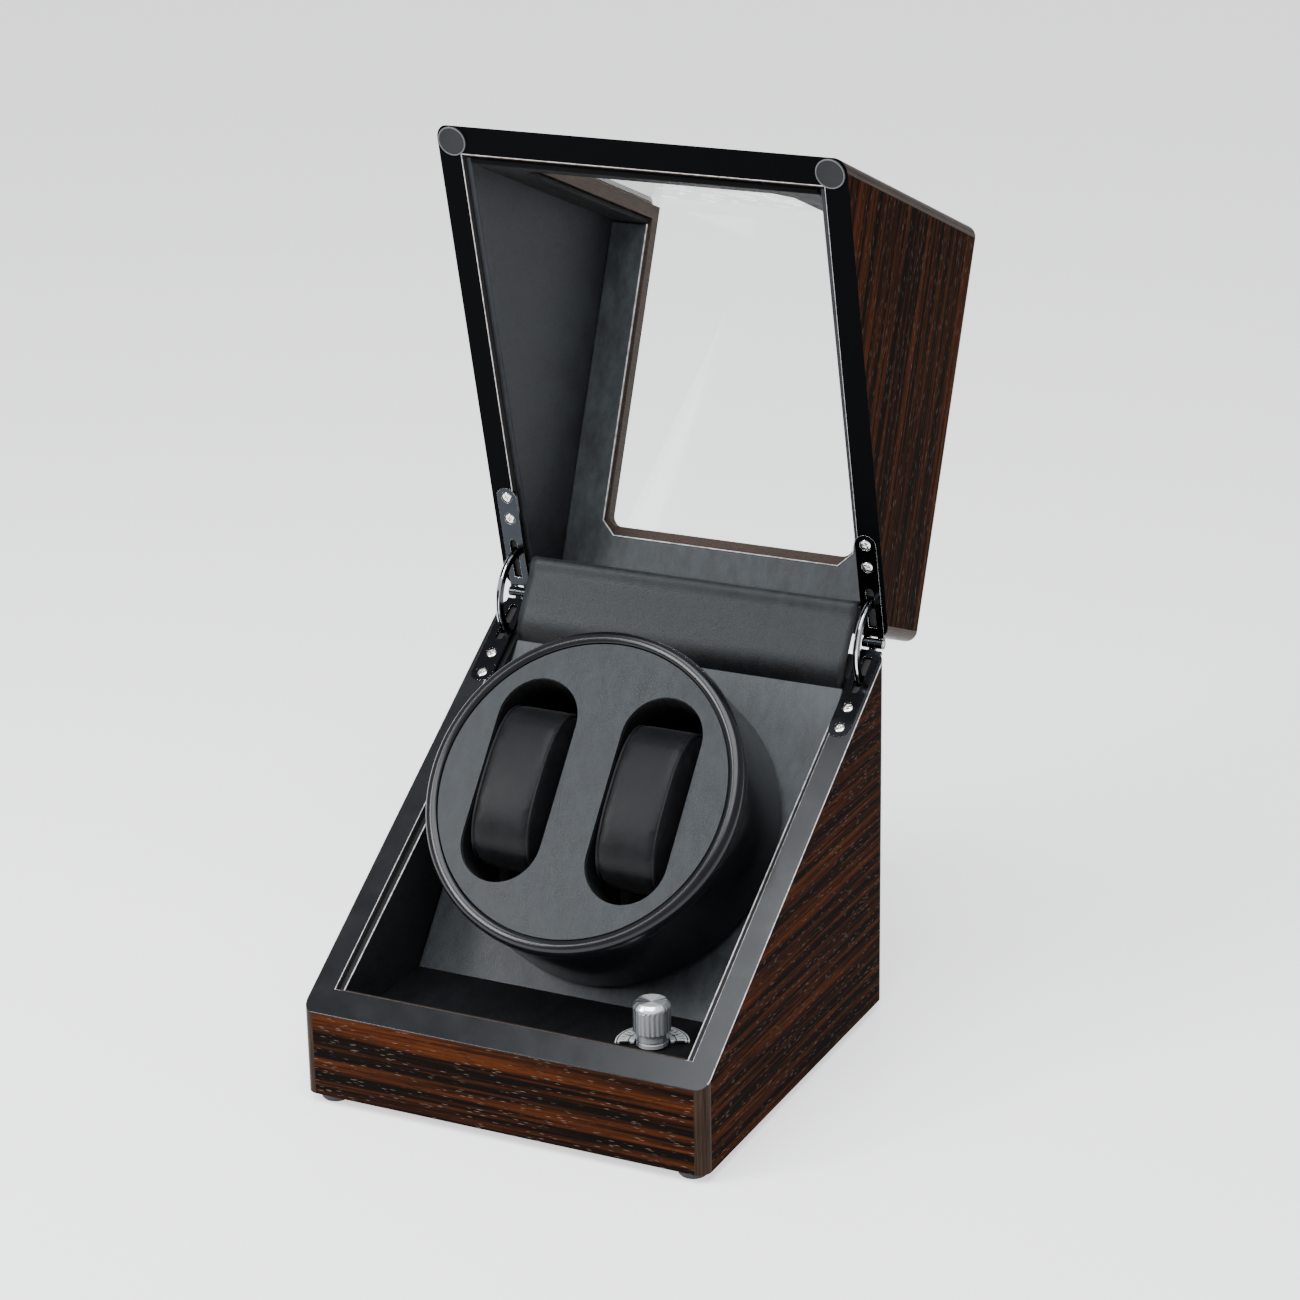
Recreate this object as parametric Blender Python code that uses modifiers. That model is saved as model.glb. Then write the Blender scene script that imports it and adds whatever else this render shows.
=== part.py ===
"""Watch winder box: a veneered box cut on a slant into a base and a hinged lid, with a tilted
two-watch turntable, its motor drive, a control knob and a glazed lid.

Millimetres are turned into metres by MM.  The origin is on the underside of the base, in the
middle of its footprint; +X is to the right, -Y is the front and +Z is up.  The lid is modelled
shut, in world coordinates, and swung open about its hinge pins by the empties that carry it.
"""
import math

import bmesh
import bpy
from mathutils import Matrix, Vector

MM = 0.001

# ---- box ---------------------------------------------------------------------------------
WIDTH = 180.0
DEPTH = 178.0
HEIGHT = 194.0
FRONT_SPLIT = 37.0          # height of the slanted joint at the front face
REAR_SPLIT = 157.0          # and at the rear face: both halves have the same shape
WALL = 10.2
EDGE_RADIUS = 5.2           # rounding of the long top edges
CORNER_RADIUS = 4.5         # rounding of the upright corners
GAP = 0.3                   # joint between touching pieces
BASE_RIM_DROP = 0.5         # the two rims stop this far from the joint plane
LID_RIM_RISE = 0.6
REAR_RIM_DROP = 2.6         # rear rims are lower, to bury the leather of the hinge strip
BOTTOM_THICKNESS = 8.0
LINER = 2.5
LINER_DROP = 2.0            # liners stop below the rims, under the hinge leaves
FOOT_RADIUS = 6.5
FOOT_HEIGHT = 4.0
FOOT_INSET = 8.5

# ---- lid hinge ---------------------------------------------------------------------------
PIN_BEHIND = 2.8            # the hinge pins stand this far behind the rear face
LID_OPEN = 111.4            # degrees that the lid stands open
HINGE_X = 83.2
LEAF_WIDTH = 9.4
LEAF_THICKNESS = 1.5
LEAF_FROM = 3.2             # distances along the rim, measured from the pin
BASE_LEAF_TO = 48.2
LID_LEAF_TO = 51.0
LEAF_SLOT = (7.0, 24.0)       # the stay rises through this slot
LEAF_SLOT_HALF = 1.8
LEAF_SINK = 0.1
SCREW_FROM_END = (4.6, 15.0)
SCREW_HEAD = 2.2
SCREW_SHANK = 1.1
SCREW_LENGTH = 8.0
BARREL_RADIUS = 2.5
BARREL_LENGTH = 2.9
PIN_RADIUS = 1.2
STAY_INNER = 16.5
STAY_OUTER = 20.5
STAY_THICKNESS = 2.0
STAY_CLEARANCE = 0.6         # between a stay and the sides of its mortise
STAY_IN_BASE = 4.8          # degrees of the stay that stay inside the open base
STAY_IN_LID = 4.8
BASE_POCKET = 43.0          # degrees of the mortises, measured from the rims
LID_POCKET = 82.0

# ---- turntable ---------------------------------------------------------------------------
TILT = 50.7                 # degrees that the turntable's face leans back from level
FACE_CENTRE = (0.0, -13.9, 118.8)
DRUM_RADIUS = 68.0
RIM_RADIUS = 69.0
FACE_RADIUS = 62.9
DRUM_DEPTH = 52.0
PANEL_DEPTH = 53.8          # from the turntable's face down to the slanted panel
PANEL_THICKNESS = 6.0
SLOT_OFFSET = 28.2
SLOT_RADIUS = 17.8
SLOT_LENGTH = 88.0
WELL_DEPTH = 40.0
PILLOW_LENGTH = 68.0
PILLOW_WIDTH = 29.0
PILLOW_PROUD = 8.0
PILLOW_DEPTH = 36.0
SHAFT_RADIUS = 3.0
GEARBOX_RADIUS = 19.0
GEARBOX_LENGTH = 22.0
MOTOR_RADIUS = 12.0

# ---- control ledge -----------------------------------------------------------------------
LEDGE_TOP = 28.6
LEDGE_THICKNESS = 5.0
KNOB_AT = (46.0, -45.5)
KNOB_RADIUS = 7.75
KNOB_COLLAR = 6.6
KNOB_TOP = 48.0
KNOB_SKIRT = 35.3           # where the grip ends and the narrower collar begins
SCALE_RADIUS = 15.0
SCALE_TURN = 25.0           # degrees that the scale plate is turned towards the right corner

# ---- power inlet -------------------------------------------------------------------------
INLET_AT = (-55.0, 22.0)    # across and up the rear panel
INLET_RADIUS = 4.0
INLET_FLANGE = 6.2
INLET_SOCKET = 2.8          # takes an ordinary 5.5 mm barrel plug

# ---- lid window --------------------------------------------------------------------------
WINDOW_HALF = 58.3
WINDOW_REAR = 57.0
WINDOW_SILL = 70.0
PANE_THICKNESS = 4.0
PANE_LAP = 5.6
LINER_WINDOW_HALF = 59.3
LINER_WINDOW_REAR = 61.3
LINER_WINDOW_SILL = 57.5
LINER_CHAMFER = 6.0

ARC_STEPS = 6

# ---- colours: base colour, roughness, metallic -------------------------------------------
EBONY = ((0.035, 0.016, 0.009), 0.32, 0.0)
BLACK_LEATHER = ((0.035, 0.037, 0.040), 0.5, 0.0)
LEATHER = ((0.055, 0.060, 0.065), 0.55, 0.0)
GLOSS_BLACK = ((0.02, 0.02, 0.022), 0.22, 0.0)
MATTE_BLACK = ((0.03, 0.03, 0.032), 0.6, 0.0)
CHROME = ((0.75, 0.75, 0.76), 0.12, 1.0)
SPUN_ALUMINIUM = ((0.80, 0.80, 0.82), 0.25, 1.0)
RUBBER = ((0.02, 0.02, 0.02), 0.8, 0.0)
CLEAR = ((0.9, 0.92, 0.93), 0.03, 0.0)
STEEL = ((0.45, 0.45, 0.46), 0.35, 1.0)
BRASS = ((0.62, 0.47, 0.20), 0.3, 1.0)
BOARD_GREEN = ((0.01, 0.11, 0.05), 0.45, 0.0)
FIBREBOARD = ((0.04, 0.035, 0.03), 0.8, 0.0)

HALF_X = WIDTH / 2
HALF_Y = DEPTH / 2
INNER_X = HALF_X - WALL
INNER_Y = HALF_Y - WALL
SLOPE = math.atan2(REAR_SPLIT - FRONT_SPLIT, DEPTH)
PIN_Y = HALF_Y + PIN_BEHIND
PIN_Z = FRONT_SPLIT + (PIN_Y + HALF_Y) * math.tan(SLOPE)
LINED_X = INNER_X - GAP - LINER           # faces of the liners, seen from inside
LINED_Y = INNER_Y - GAP - LINER
PIECE_X = LINED_X - GAP                   # half width of what sits between the side liners


# ---- helpers -----------------------------------------------------------------------------
def clear_scene():
    for obj in list(bpy.data.objects):
        bpy.data.objects.remove(obj, do_unlink=True)


def collection(name):
    group = bpy.data.collections.new(name)
    bpy.context.scene.collection.children.link(group)
    return group


def frame(name, location=(0, 0, 0), turn_x=0.0, parent=None):
    """An empty that carries pieces; its place is in millimetres and its turn in degrees."""
    empty = bpy.data.objects.new(name, None)
    empty.location = Vector(location) * MM
    empty.rotation_euler = (math.radians(turn_x), 0, 0)
    empty.parent = parent
    GUIDES.objects.link(empty)
    return empty


def finish_material(name, look):
    colour, roughness, metallic = look
    material = bpy.data.materials.new(name)
    material.use_nodes = True
    shader = material.node_tree.nodes["Principled BSDF"]
    shader.inputs["Base Color"].default_value = (*colour, 1.0)
    shader.inputs["Roughness"].default_value = roughness
    shader.inputs["Metallic"].default_value = metallic
    if look is CLEAR:
        shader.inputs["Transmission Weight"].default_value = 0.95
    return material


def add_object(name, data, carrier, look):
    """Link a piece to the box's collection, or a cutter where look is None."""
    obj = bpy.data.objects.new(name, data)
    obj.parent = carrier
    if look is None:
        CUTTERS.objects.link(obj)
        obj.hide_render = True
        obj.display_type = "WIRE"
    else:
        PARTS.objects.link(obj)
        data.materials.append(finish_material(name, look))
    return obj


def mesh_from(bm, name):
    bmesh.ops.recalc_face_normals(bm, faces=bm.faces)
    mesh = bpy.data.meshes.new(name)
    bm.to_mesh(mesh)
    bm.free()
    return mesh


PLANES = {
    "X": Matrix(((0, 0, 1, 0), (1, 0, 0, 0), (0, 1, 0, 0), (0, 0, 0, 1))),    # outline in Y, Z
    "Y": Matrix(((1, 0, 0, 0), (0, 0, -1, 0), (0, 1, 0, 0), (0, 0, 0, 1))),   # outline in X, Z
    "Z": Matrix.Identity(4),                                                  # outline in X, Y
}


def prism(name, outlines, axis, low, high, carrier=None, look=None, soften=None):
    """A flat outline, with any holes as further outlines, thickened from low to high on axis."""
    curve = bpy.data.curves.new(name, "CURVE")
    curve.dimensions = "2D"
    curve.fill_mode = "BOTH"
    curve.extrude = (high - low) / 2 * MM
    for outline in outlines:
        spline = curve.splines.new("POLY")
        spline.points.add(len(outline) - 1)
        for point, (u, v) in zip(spline.points, outline):
            point.co = (u * MM, v * MM, 0, 1)
        spline.use_cyclic_u = True
    flat = bpy.data.objects.new(name + "_outline", curve)
    CUTTERS.objects.link(flat)
    mesh = bpy.data.meshes.new_from_object(flat.evaluated_get(bpy.context.evaluated_depsgraph_get()))
    bpy.data.objects.remove(flat)
    bpy.data.curves.remove(curve)
    bm = bmesh.new()
    bm.from_mesh(mesh)
    bpy.data.meshes.remove(mesh)
    bmesh.ops.remove_doubles(bm, verts=bm.verts, dist=0.00001)
    bmesh.ops.dissolve_limit(bm, angle_limit=math.radians(0.5), verts=bm.verts, edges=bm.edges)
    middle = (low + high) / 2 * MM
    bmesh.ops.translate(bm, verts=bm.verts, vec=(0, 0, middle if axis != "Y" else -middle))
    bmesh.ops.transform(bm, matrix=PLANES[axis], verts=bm.verts)
    if soften:
        test, width, steps = soften
        chosen = [edge for edge in bm.edges if test(edge)]
        bmesh.ops.bevel(bm, geom=chosen, offset=width * MM, offset_type="OFFSET", segments=steps,
                        profile=0.5, affect="EDGES")
    return add_object(name, mesh_from(bm, name), carrier, look)


def box(name, low, high, carrier=None, look=None, soften=None):
    outline = [(low[1], low[2]), (high[1], low[2]), (high[1], high[2]), (low[1], high[2])]
    return prism(name, [outline], "X", low[0], high[0], carrier, look, soften)


def cylinder(name, radius, low, high, centre=(0, 0), axis="Z", carrier=None, look=None, sides=24):
    return prism(name, [circle(centre, radius, sides)], axis, low, high, carrier, look)


def turned(name, profile, carrier=None, look=None, steps=32, place=(0, 0, 0)):
    """A closed ring profile of (radius, height) turned about the carrier's Z axis."""
    bm = bmesh.new()
    points = [bm.verts.new((r * MM, 0, z * MM)) for r, z in profile]
    on_axis = profile[0][0] == 0
    for index in range(len(points) - (1 if on_axis else 0)):
        bm.edges.new((points[index], points[(index + 1) % len(points)]))
    mesh = bpy.data.meshes.new(name)
    bm.to_mesh(mesh)
    bm.free()
    obj = add_object(name, mesh, carrier, look)
    obj.location = Vector(place) * MM
    screw = obj.modifiers.new("Turn", "SCREW")
    screw.angle = math.tau
    screw.steps = steps
    screw.render_steps = steps
    screw.use_merge_vertices = True
    screw.merge_threshold = 0.00005
    return obj


def cut(obj, *tools, operation="DIFFERENCE"):
    for tool in tools:
        boolean = obj.modifiers.new(operation.title(), "BOOLEAN")
        boolean.operation = operation
        boolean.solver = "EXACT"
        boolean.object = tool


def arc(centre, radius, start, stop, steps=ARC_STEPS):
    """Points on an arc, its angles in degrees."""
    return [(centre[0] + radius * math.cos(math.radians(start + (stop - start) * i / steps)),
             centre[1] + radius * math.sin(math.radians(start + (stop - start) * i / steps)))
            for i in range(steps + 1)]


def circle(centre, radius, sides=24):
    return arc(centre, radius, 0, 360 * (sides - 1) / sides, sides - 1)


def stadium(centre, radius, length, steps=12):
    """A slot standing along the second axis, with round ends."""
    reach = length / 2 - radius
    return (arc((centre[0], centre[1] + reach), radius, 0, 180, steps)
            + arc((centre[0], centre[1] - reach), radius, 180, 360, steps))


def split(y, drop=0.0):
    """Height of the slanted joint at y, shifted by drop square to the joint."""
    return FRONT_SPLIT + (y + HALF_Y) * math.tan(SLOPE) + drop / math.cos(SLOPE)


def sides():
    return (("left", -1), ("right", 1))


def outer_upright(edge):
    """Upright edges of a side panel's outer face."""
    first, last = (v.co for v in edge.verts)
    outside = min(abs(first.x), abs(last.x)) > (HALF_X - 0.01) * MM
    return outside and abs(first.y - last.y) < 1e-6 and abs(first.y) > (HALF_Y - 0.01) * MM


def outer_outline(edge):
    """Every edge of a lid side panel's outer face that isn't on the slanted joint."""
    first, last = (v.co for v in edge.verts)
    outside = min(abs(first.x), abs(last.x)) > (HALF_X - 0.01) * MM
    on_joint = all(v.z < (split(v.y / MM) + 2) * MM for v in (first, last))
    return outside and not on_joint


def soft_edges(edge):
    """Edges that turn a right angle, for rounding padded boards and cushions."""
    return len(edge.link_faces) == 2 and edge.calc_face_angle(0) > math.radians(60)


# ---- base --------------------------------------------------------------------------------
def make_base_panels():
    top = -BASE_RIM_DROP
    profile = [(-HALF_Y, 0), (HALF_Y, 0), (HALF_Y, split(HALF_Y, top)), (-HALF_Y, split(-HALF_Y, top))]
    panels = {}
    for side, sign in sides():
        low, high = sorted((sign * INNER_X, sign * HALF_X))
        panels[side] = prism(f"base_{side}_panel", [profile], "X", low, high, None, EBONY,
                             (outer_upright, CORNER_RADIUS, 4))
    between = INNER_X - GAP
    for name, low, high, drop in (("front", -HALF_Y, -INNER_Y, BASE_RIM_DROP),
                                  ("rear", INNER_Y, HALF_Y, REAR_RIM_DROP)):
        outline = [(low, 0), (high, 0), (high, split(high, -drop)), (low, split(low, -drop))]
        panels[name] = prism(f"base_{name}_panel", [outline], "X", -between, between, None, EBONY)
    inlet_hole = cylinder("inlet_hole", INLET_RADIUS + GAP, INNER_Y - 2, HALF_Y + 2, INLET_AT, "Y")
    cut(panels["rear"], inlet_hole)
    return panels


def make_bottom_and_feet():
    reach_x = INNER_X - GAP
    reach_y = INNER_Y - GAP
    box("bottom_panel", (-reach_x, -reach_y, 0), (reach_x, reach_y, BOTTOM_THICKNESS), None, FIBREBOARD)
    for row, sign_y in (("front", -1), ("rear", 1)):
        for side, sign_x in sides():
            place = (sign_x * (HALF_X - FOOT_INSET - 1), sign_y * (HALF_Y - FOOT_INSET), 0)
            profile = [(0, -GAP), (FOOT_RADIUS, -GAP), (FOOT_RADIUS, 0.8 - FOOT_HEIGHT),
                       (FOOT_RADIUS - 0.8, -FOOT_HEIGHT), (0, -FOOT_HEIGHT)]
            turned(f"foot_{row}_{side}", profile, None, RUBBER, 20, place)


def make_base_liners():
    floor = BOTTOM_THICKNESS + GAP
    drop = -BASE_RIM_DROP - LINER_DROP
    reach = INNER_Y - GAP
    for side, sign in sides():
        outline = [(-reach, floor), (reach, floor), (reach, split(reach, drop - 1.5)),
                   (-reach, split(-reach, drop))]
        low, high = sorted((sign * LINED_X, sign * (INNER_X - GAP)))
        prism(f"base_{side}_liner", [outline], "X", low, high, None, BLACK_LEATHER)
    outline = [(-reach, floor), (-LINED_Y, floor), (-LINED_Y, split(-LINED_Y, -BASE_RIM_DROP - 0.6)),
               (-reach, split(-reach, -BASE_RIM_DROP - 0.6))]
    prism("base_front_liner", [outline], "X", -PIECE_X, PIECE_X, None, BLACK_LEATHER)
    low_side = 0.15 - REAR_RIM_DROP
    high_side = 1.35 - REAR_RIM_DROP
    foot = 138.0
    outline = [(LINED_Y, foot), (reach, foot), (reach, split(reach, low_side)),
               (HALF_Y - 0.2, split(HALF_Y - 0.2, low_side)), (HALF_Y - 0.2, split(HALF_Y - 0.2, high_side)),
               (LINED_Y, split(LINED_Y, high_side))]
    prism("base_rear_liner", [outline], "X", -PIECE_X + 0.2, PIECE_X - 0.2, None, LEATHER)


def panel_y(z, depth):
    """Where a line parallel to the turntable's face, depth below it, stands at height z."""
    tilt = math.radians(TILT)
    y0 = FACE_CENTRE[1] + depth * math.sin(tilt)
    z0 = FACE_CENTRE[2] - depth * math.cos(tilt)
    return y0 + (z - z0) / math.tan(tilt)


def panel_z(y, depth):
    tilt = math.radians(TILT)
    y0 = FACE_CENTRE[1] + depth * math.sin(tilt)
    z0 = FACE_CENTRE[2] - depth * math.cos(tilt)
    return z0 + (y - y0) * math.tan(tilt)


def make_inner_panels(turntable):
    foot = LEDGE_TOP - LEDGE_THICKNESS
    end = LINED_Y - GAP
    under = PANEL_DEPTH + PANEL_THICKNESS
    outline = [(panel_y(foot, PANEL_DEPTH), foot), (panel_y(foot, under), foot),
               (end, panel_z(end, under)), (end, panel_z(end, PANEL_DEPTH))]
    panel = prism("slanted_panel", [outline], "X", -PIECE_X, PIECE_X, None, LEATHER)
    bush_hole = cylinder("bush_hole", 5.3, -PANEL_DEPTH - 8, -PANEL_DEPTH + 2, carrier=turntable)
    cut(panel, bush_hole)

    rear_low = panel_y(foot, PANEL_DEPTH) - 0.4
    rear_high = panel_y(LEDGE_TOP, PANEL_DEPTH) - 0.4
    front = -LINED_Y + GAP
    outline = [(front, foot), (rear_low, foot), (rear_high, LEDGE_TOP), (front, LEDGE_TOP)]
    ledge = prism("control_ledge", [outline], "X", -PIECE_X, PIECE_X, None, BLACK_LEATHER)
    cut(ledge, cylinder("knob_hole", 4.6, foot - 2, LEDGE_TOP + 2, KNOB_AT))


# ---- control knob ------------------------------------------------------------------------
def make_controls():
    turn = math.radians(SCALE_TURN)

    def turned_point(u, v):
        return (KNOB_AT[0] + u * math.cos(turn) - v * math.sin(turn),
                KNOB_AT[1] + u * math.sin(turn) + v * math.cos(turn))

    hole = 7.2
    outline = [turned_point(*p) for p in arc((0, 0), SCALE_RADIUS, 0, 180, 18) + arc((0, 0), hole, 180, 0, 12)]
    low = LEDGE_TOP + GAP
    prism("scale_plate", [outline], "Z", low, low + 1.2, None, SPUN_ALUMINIUM)

    knob = frame("knob_axis", (*KNOB_AT, 0))
    stem = 2.95
    stem_end = 18.0
    seat = LEDGE_TOP + 0.5
    profile = [(0, KNOB_TOP), (5.6, KNOB_TOP), (6.8, KNOB_TOP - 0.6), (KNOB_RADIUS, KNOB_TOP - 2.2),
               (KNOB_RADIUS, KNOB_SKIRT), (KNOB_COLLAR, KNOB_SKIRT), (KNOB_COLLAR, 31.8), (6.2, 31.4),
               (KNOB_COLLAR, 31.0), (KNOB_COLLAR, seat), (stem, seat), (stem, stem_end), (0, stem_end)]
    turned("control_knob", profile, knob, SPUN_ALUMINIUM, 32)

    bush_top = LEDGE_TOP + 0.2
    body_top = LEDGE_TOP - LEDGE_THICKNESS - GAP
    profile = [(3.05, bush_top), (4.3, bush_top), (4.3, body_top), (8.5, body_top), (8.5, 12.5),
               (3.05, 12.5)]
    turned("rotary_switch", profile, knob, MATTE_BLACK, 32)


# ---- drive -------------------------------------------------------------------------------
def make_drive(turntable):
    under = -PANEL_DEPTH - PANEL_THICKNESS - GAP
    profile = [(SHAFT_RADIUS + 0.06, -PANEL_DEPTH + 0.5), (5.0, -PANEL_DEPTH + 0.5), (5.0, under + 0.4),
               (SHAFT_RADIUS + 0.06, under + 0.4)]
    turned("shaft_bush", profile, turntable, BRASS, 48)

    plate_low = under - 2.0
    outline = [(-32, -26), (32, -26), (32, 26), (-32, 26)]
    holes = [circle((x, y), 2.1, 12) for x in (-26, 26) for y in (-20, 20)]
    prism("motor_plate", [outline, circle((0, 0), 5.5), *holes], "Z", plate_low, under, turntable, STEEL)

    gear_top = plate_low - GAP
    gear_low = gear_top - GEARBOX_LENGTH
    gearbox = cylinder("gearbox", GEARBOX_RADIUS, gear_low, gear_top, carrier=turntable, look=STEEL,
                       sides=32)
    cut(gearbox, cylinder("gearbox_bore", SHAFT_RADIUS + 0.15, gear_low + 6, gear_top + 2,
                          carrier=turntable, sides=32))
    can_top = gear_low - GAP
    profile = [(0, can_top), (MOTOR_RADIUS, can_top), (MOTOR_RADIUS, can_top - 16),
               (MOTOR_RADIUS - 1.5, can_top - 17.5), (3.5, can_top - 17.5), (3.5, can_top - 19),
               (0, can_top - 19)]
    turned("drive_motor", profile, turntable, STEEL, 28)

    hub_top = -DRUM_DEPTH + 6.2
    profile = [(0, hub_top - 1.0), (SHAFT_RADIUS, hub_top - 1.0), (SHAFT_RADIUS, gear_low + 8),
               (0, gear_low + 8)]
    turned("drive_shaft", profile, turntable, STEEL, 32)
    profile = [(SHAFT_RADIUS + 0.3, hub_top), (15.0, hub_top), (15.0, hub_top - 3), (8.5, hub_top - 3),
               (8.5, -DRUM_DEPTH), (SHAFT_RADIUS + 0.3, -DRUM_DEPTH)]
    turned("drive_hub", profile, turntable, STEEL, 32)


def make_electrics():
    low = BOTTOM_THICKNESS + 3.5
    board = box("control_board", (-62, -8, low), (-4, 38, low + 1.6), None, BOARD_GREEN)
    blocks = (((-58, -4), (-46, 10), 9.0), ((-40, 4), (-30, 14), 3.0), ((-24, 18), (-10, 34), 6.5),
              ((-56, 22), (-44, 32), 11.0))
    for index, (near, far, tall) in enumerate(blocks):
        tool = box(f"board_block_{index}", (*near, low + 1), (*far, low + 1.6 + tall))
        cut(board, tool, operation="UNION")
    pillars = [cylinder(f"board_pillar_{i}", 2.5, BOTTOM_THICKNESS + GAP, low + 0.8, at, sides=12)
               for i, at in enumerate(((-58, 34), (-8, 34), (-8, -4), (-58, 16)))]
    cut(board, *pillars, operation="UNION")

    inlet = cylinder("power_inlet", INLET_RADIUS, HALF_Y - 14.5, HALF_Y + 1.0, INLET_AT, "Y", None,
                     GLOSS_BLACK)
    flange = cylinder("inlet_flange", INLET_FLANGE, HALF_Y + GAP, HALF_Y + 1.6, INLET_AT, "Y")
    socket = cylinder("inlet_socket", INLET_SOCKET, HALF_Y - 8.0, HALF_Y + 4.0, INLET_AT, "Y", sides=20)
    cut(inlet, flange, operation="UNION")
    cut(inlet, socket)


# ---- turntable ---------------------------------------------------------------------------
def make_turntable(turntable):
    wall = 2.5
    seat = FACE_RADIUS + 0.7
    profile = [(seat, -0.6), (seat + 0.7, 0.6), (66.4, 1.1), (68.3, 0.2), (RIM_RADIUS, -1.8),
               (RIM_RADIUS, -5.6), (DRUM_RADIUS, -7.2), (DRUM_RADIUS, -DRUM_DEPTH + 1.5),
               (DRUM_RADIUS - 1.5, -DRUM_DEPTH), (9.0, -DRUM_DEPTH), (9.0, -DRUM_DEPTH + wall),
               (DRUM_RADIUS - wall, -DRUM_DEPTH + wall), (DRUM_RADIUS - wall, -6.5), (seat, -6.5)]
    turned("drum_shell", profile, turntable, MATTE_BLACK, 64)

    plate_top = -1.8
    slots = [(sign * SLOT_OFFSET, 0.0) for _, sign in sides()]
    insert = cylinder("drum_insert", FACE_RADIUS + 0.3, plate_top - 3, plate_top, carrier=turntable,
                      look=MATTE_BLACK, sides=64)
    for index, at in enumerate(slots):
        cup = prism(f"well_{index}", [stadium(at, SLOT_RADIUS + 2.0, SLOT_LENGTH + 4.0)], "Z",
                    -WELL_DEPTH - 2, plate_top - 1, turntable)
        cut(insert, cup, operation="UNION")
    for index, at in enumerate(slots):
        hole = prism(f"well_hole_{index}", [stadium(at, SLOT_RADIUS, SLOT_LENGTH)], "Z",
                     -WELL_DEPTH, plate_top + 2, turntable)
        cut(insert, hole)

    openings = [stadium(at, SLOT_RADIUS, SLOT_LENGTH) for at in slots]
    prism("face_leather", [circle((0, 0), FACE_RADIUS, 64), *openings], "Z", plate_top + GAP, 0.0,
          turntable, LEATHER)

    for side, sign in sides():
        centre = (0, (PILLOW_PROUD - PILLOW_DEPTH) / 2)
        tall = (PILLOW_PROUD + PILLOW_DEPTH) / 2
        round_end = tall * 0.8
        reach = PILLOW_LENGTH / 2 - round_end
        lift = tall / round_end
        outline = [(y, centre[1] + (z - centre[1]) * lift) for y, z in
                   arc((reach, centre[1]), round_end, -90, 90, 10)
                   + arc((-reach, centre[1]), round_end, 90, 270, 10)]
        middle = sign * SLOT_OFFSET
        prism(f"watch_pillow_{side}", [outline], "X", middle - PILLOW_WIDTH / 2,
              middle + PILLOW_WIDTH / 2, turntable, BLACK_LEATHER, (soft_edges, 3.0, 2))


# ---- lid ---------------------------------------------------------------------------------
def lid_outline(front, rear, floor_drop):
    """Upright section of the lid from front to rear, with its long top edges rounded."""
    radius = EDGE_RADIUS
    return ([(front, split(front, floor_drop)), (rear, split(rear, floor_drop))]
            + arc((rear - radius, HEIGHT - radius), radius, 0, 90)
            + arc((front + radius, HEIGHT - radius), radius, 90, 180))


def make_window_cutters(lid):
    far = HALF_Y + 5
    lap = WINDOW_HALF + PANE_LAP
    deep = PANE_THICKNESS + 1.5 * GAP

    def rounded(half, near, end, radius):
        """Outline open at near: its two corners at end are rounded."""
        turn = 1 if end > near else -1
        right = arc((half - radius, end - turn * radius), radius, 0, 90 * turn)
        left = arc((radius - half, end - turn * radius), radius, 90 * turn, 180 * turn)
        return [(-half, near), (half, near), *right, *left]

    return (
        prism("window_top", [rounded(WINDOW_HALF, -far, WINDOW_REAR, 5.0)], "Z", HEIGHT - 14, HEIGHT + 6, lid),
        prism("window_front", [rounded(WINDOW_HALF, HEIGHT + 6, WINDOW_SILL, 5.0)], "Y", -far,
              -INNER_Y + 2, lid),
        prism("rebate_top", [rounded(lap, -far, WINDOW_REAR + PANE_LAP, 6.0)], "Z", HEIGHT - deep,
              HEIGHT + 6, lid),
        prism("rebate_front", [rounded(lap, HEIGHT + 6, WINDOW_SILL - PANE_LAP, 6.0)], "Y", -far,
              -HALF_Y + deep, lid),
    )


def make_lid_panels(lid):
    panels = {}
    for side, sign in sides():
        low, high = sorted((sign * INNER_X, sign * HALF_X))
        panels[side] = prism(f"lid_{side}_panel", [lid_outline(-HALF_Y, HALF_Y, LID_RIM_RISE)], "X", low,
                             high, lid, EBONY, (outer_outline, CORNER_RADIUS, 4))
    between = INNER_X - GAP
    ceiling = HEIGHT - WALL
    for name, low, high, rise in (("front", -HALF_Y, -INNER_Y, LID_RIM_RISE),
                                  ("rear", INNER_Y, HALF_Y, REAR_RIM_DROP)):
        outline = [(low, split(low, rise)), (high, split(high, rise)), (high, ceiling - GAP),
                   (low, ceiling - GAP)]
        panels[name] = prism(f"lid_{name}_panel", [outline], "X", -between, between, lid, EBONY)
    radius = EDGE_RADIUS
    outline = ([(-HALF_Y, ceiling), (HALF_Y, ceiling)]
               + arc((HALF_Y - radius, HEIGHT - radius), radius, 0, 90)
               + arc((radius - HALF_Y, HEIGHT - radius), radius, 90, 180))
    panels["top"] = prism("lid_top_panel", [outline], "X", -between, between, lid, EBONY)
    cutters = make_window_cutters(lid)
    cut(panels["top"], *cutters)
    cut(panels["front"], *cutters)
    return panels


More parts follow.
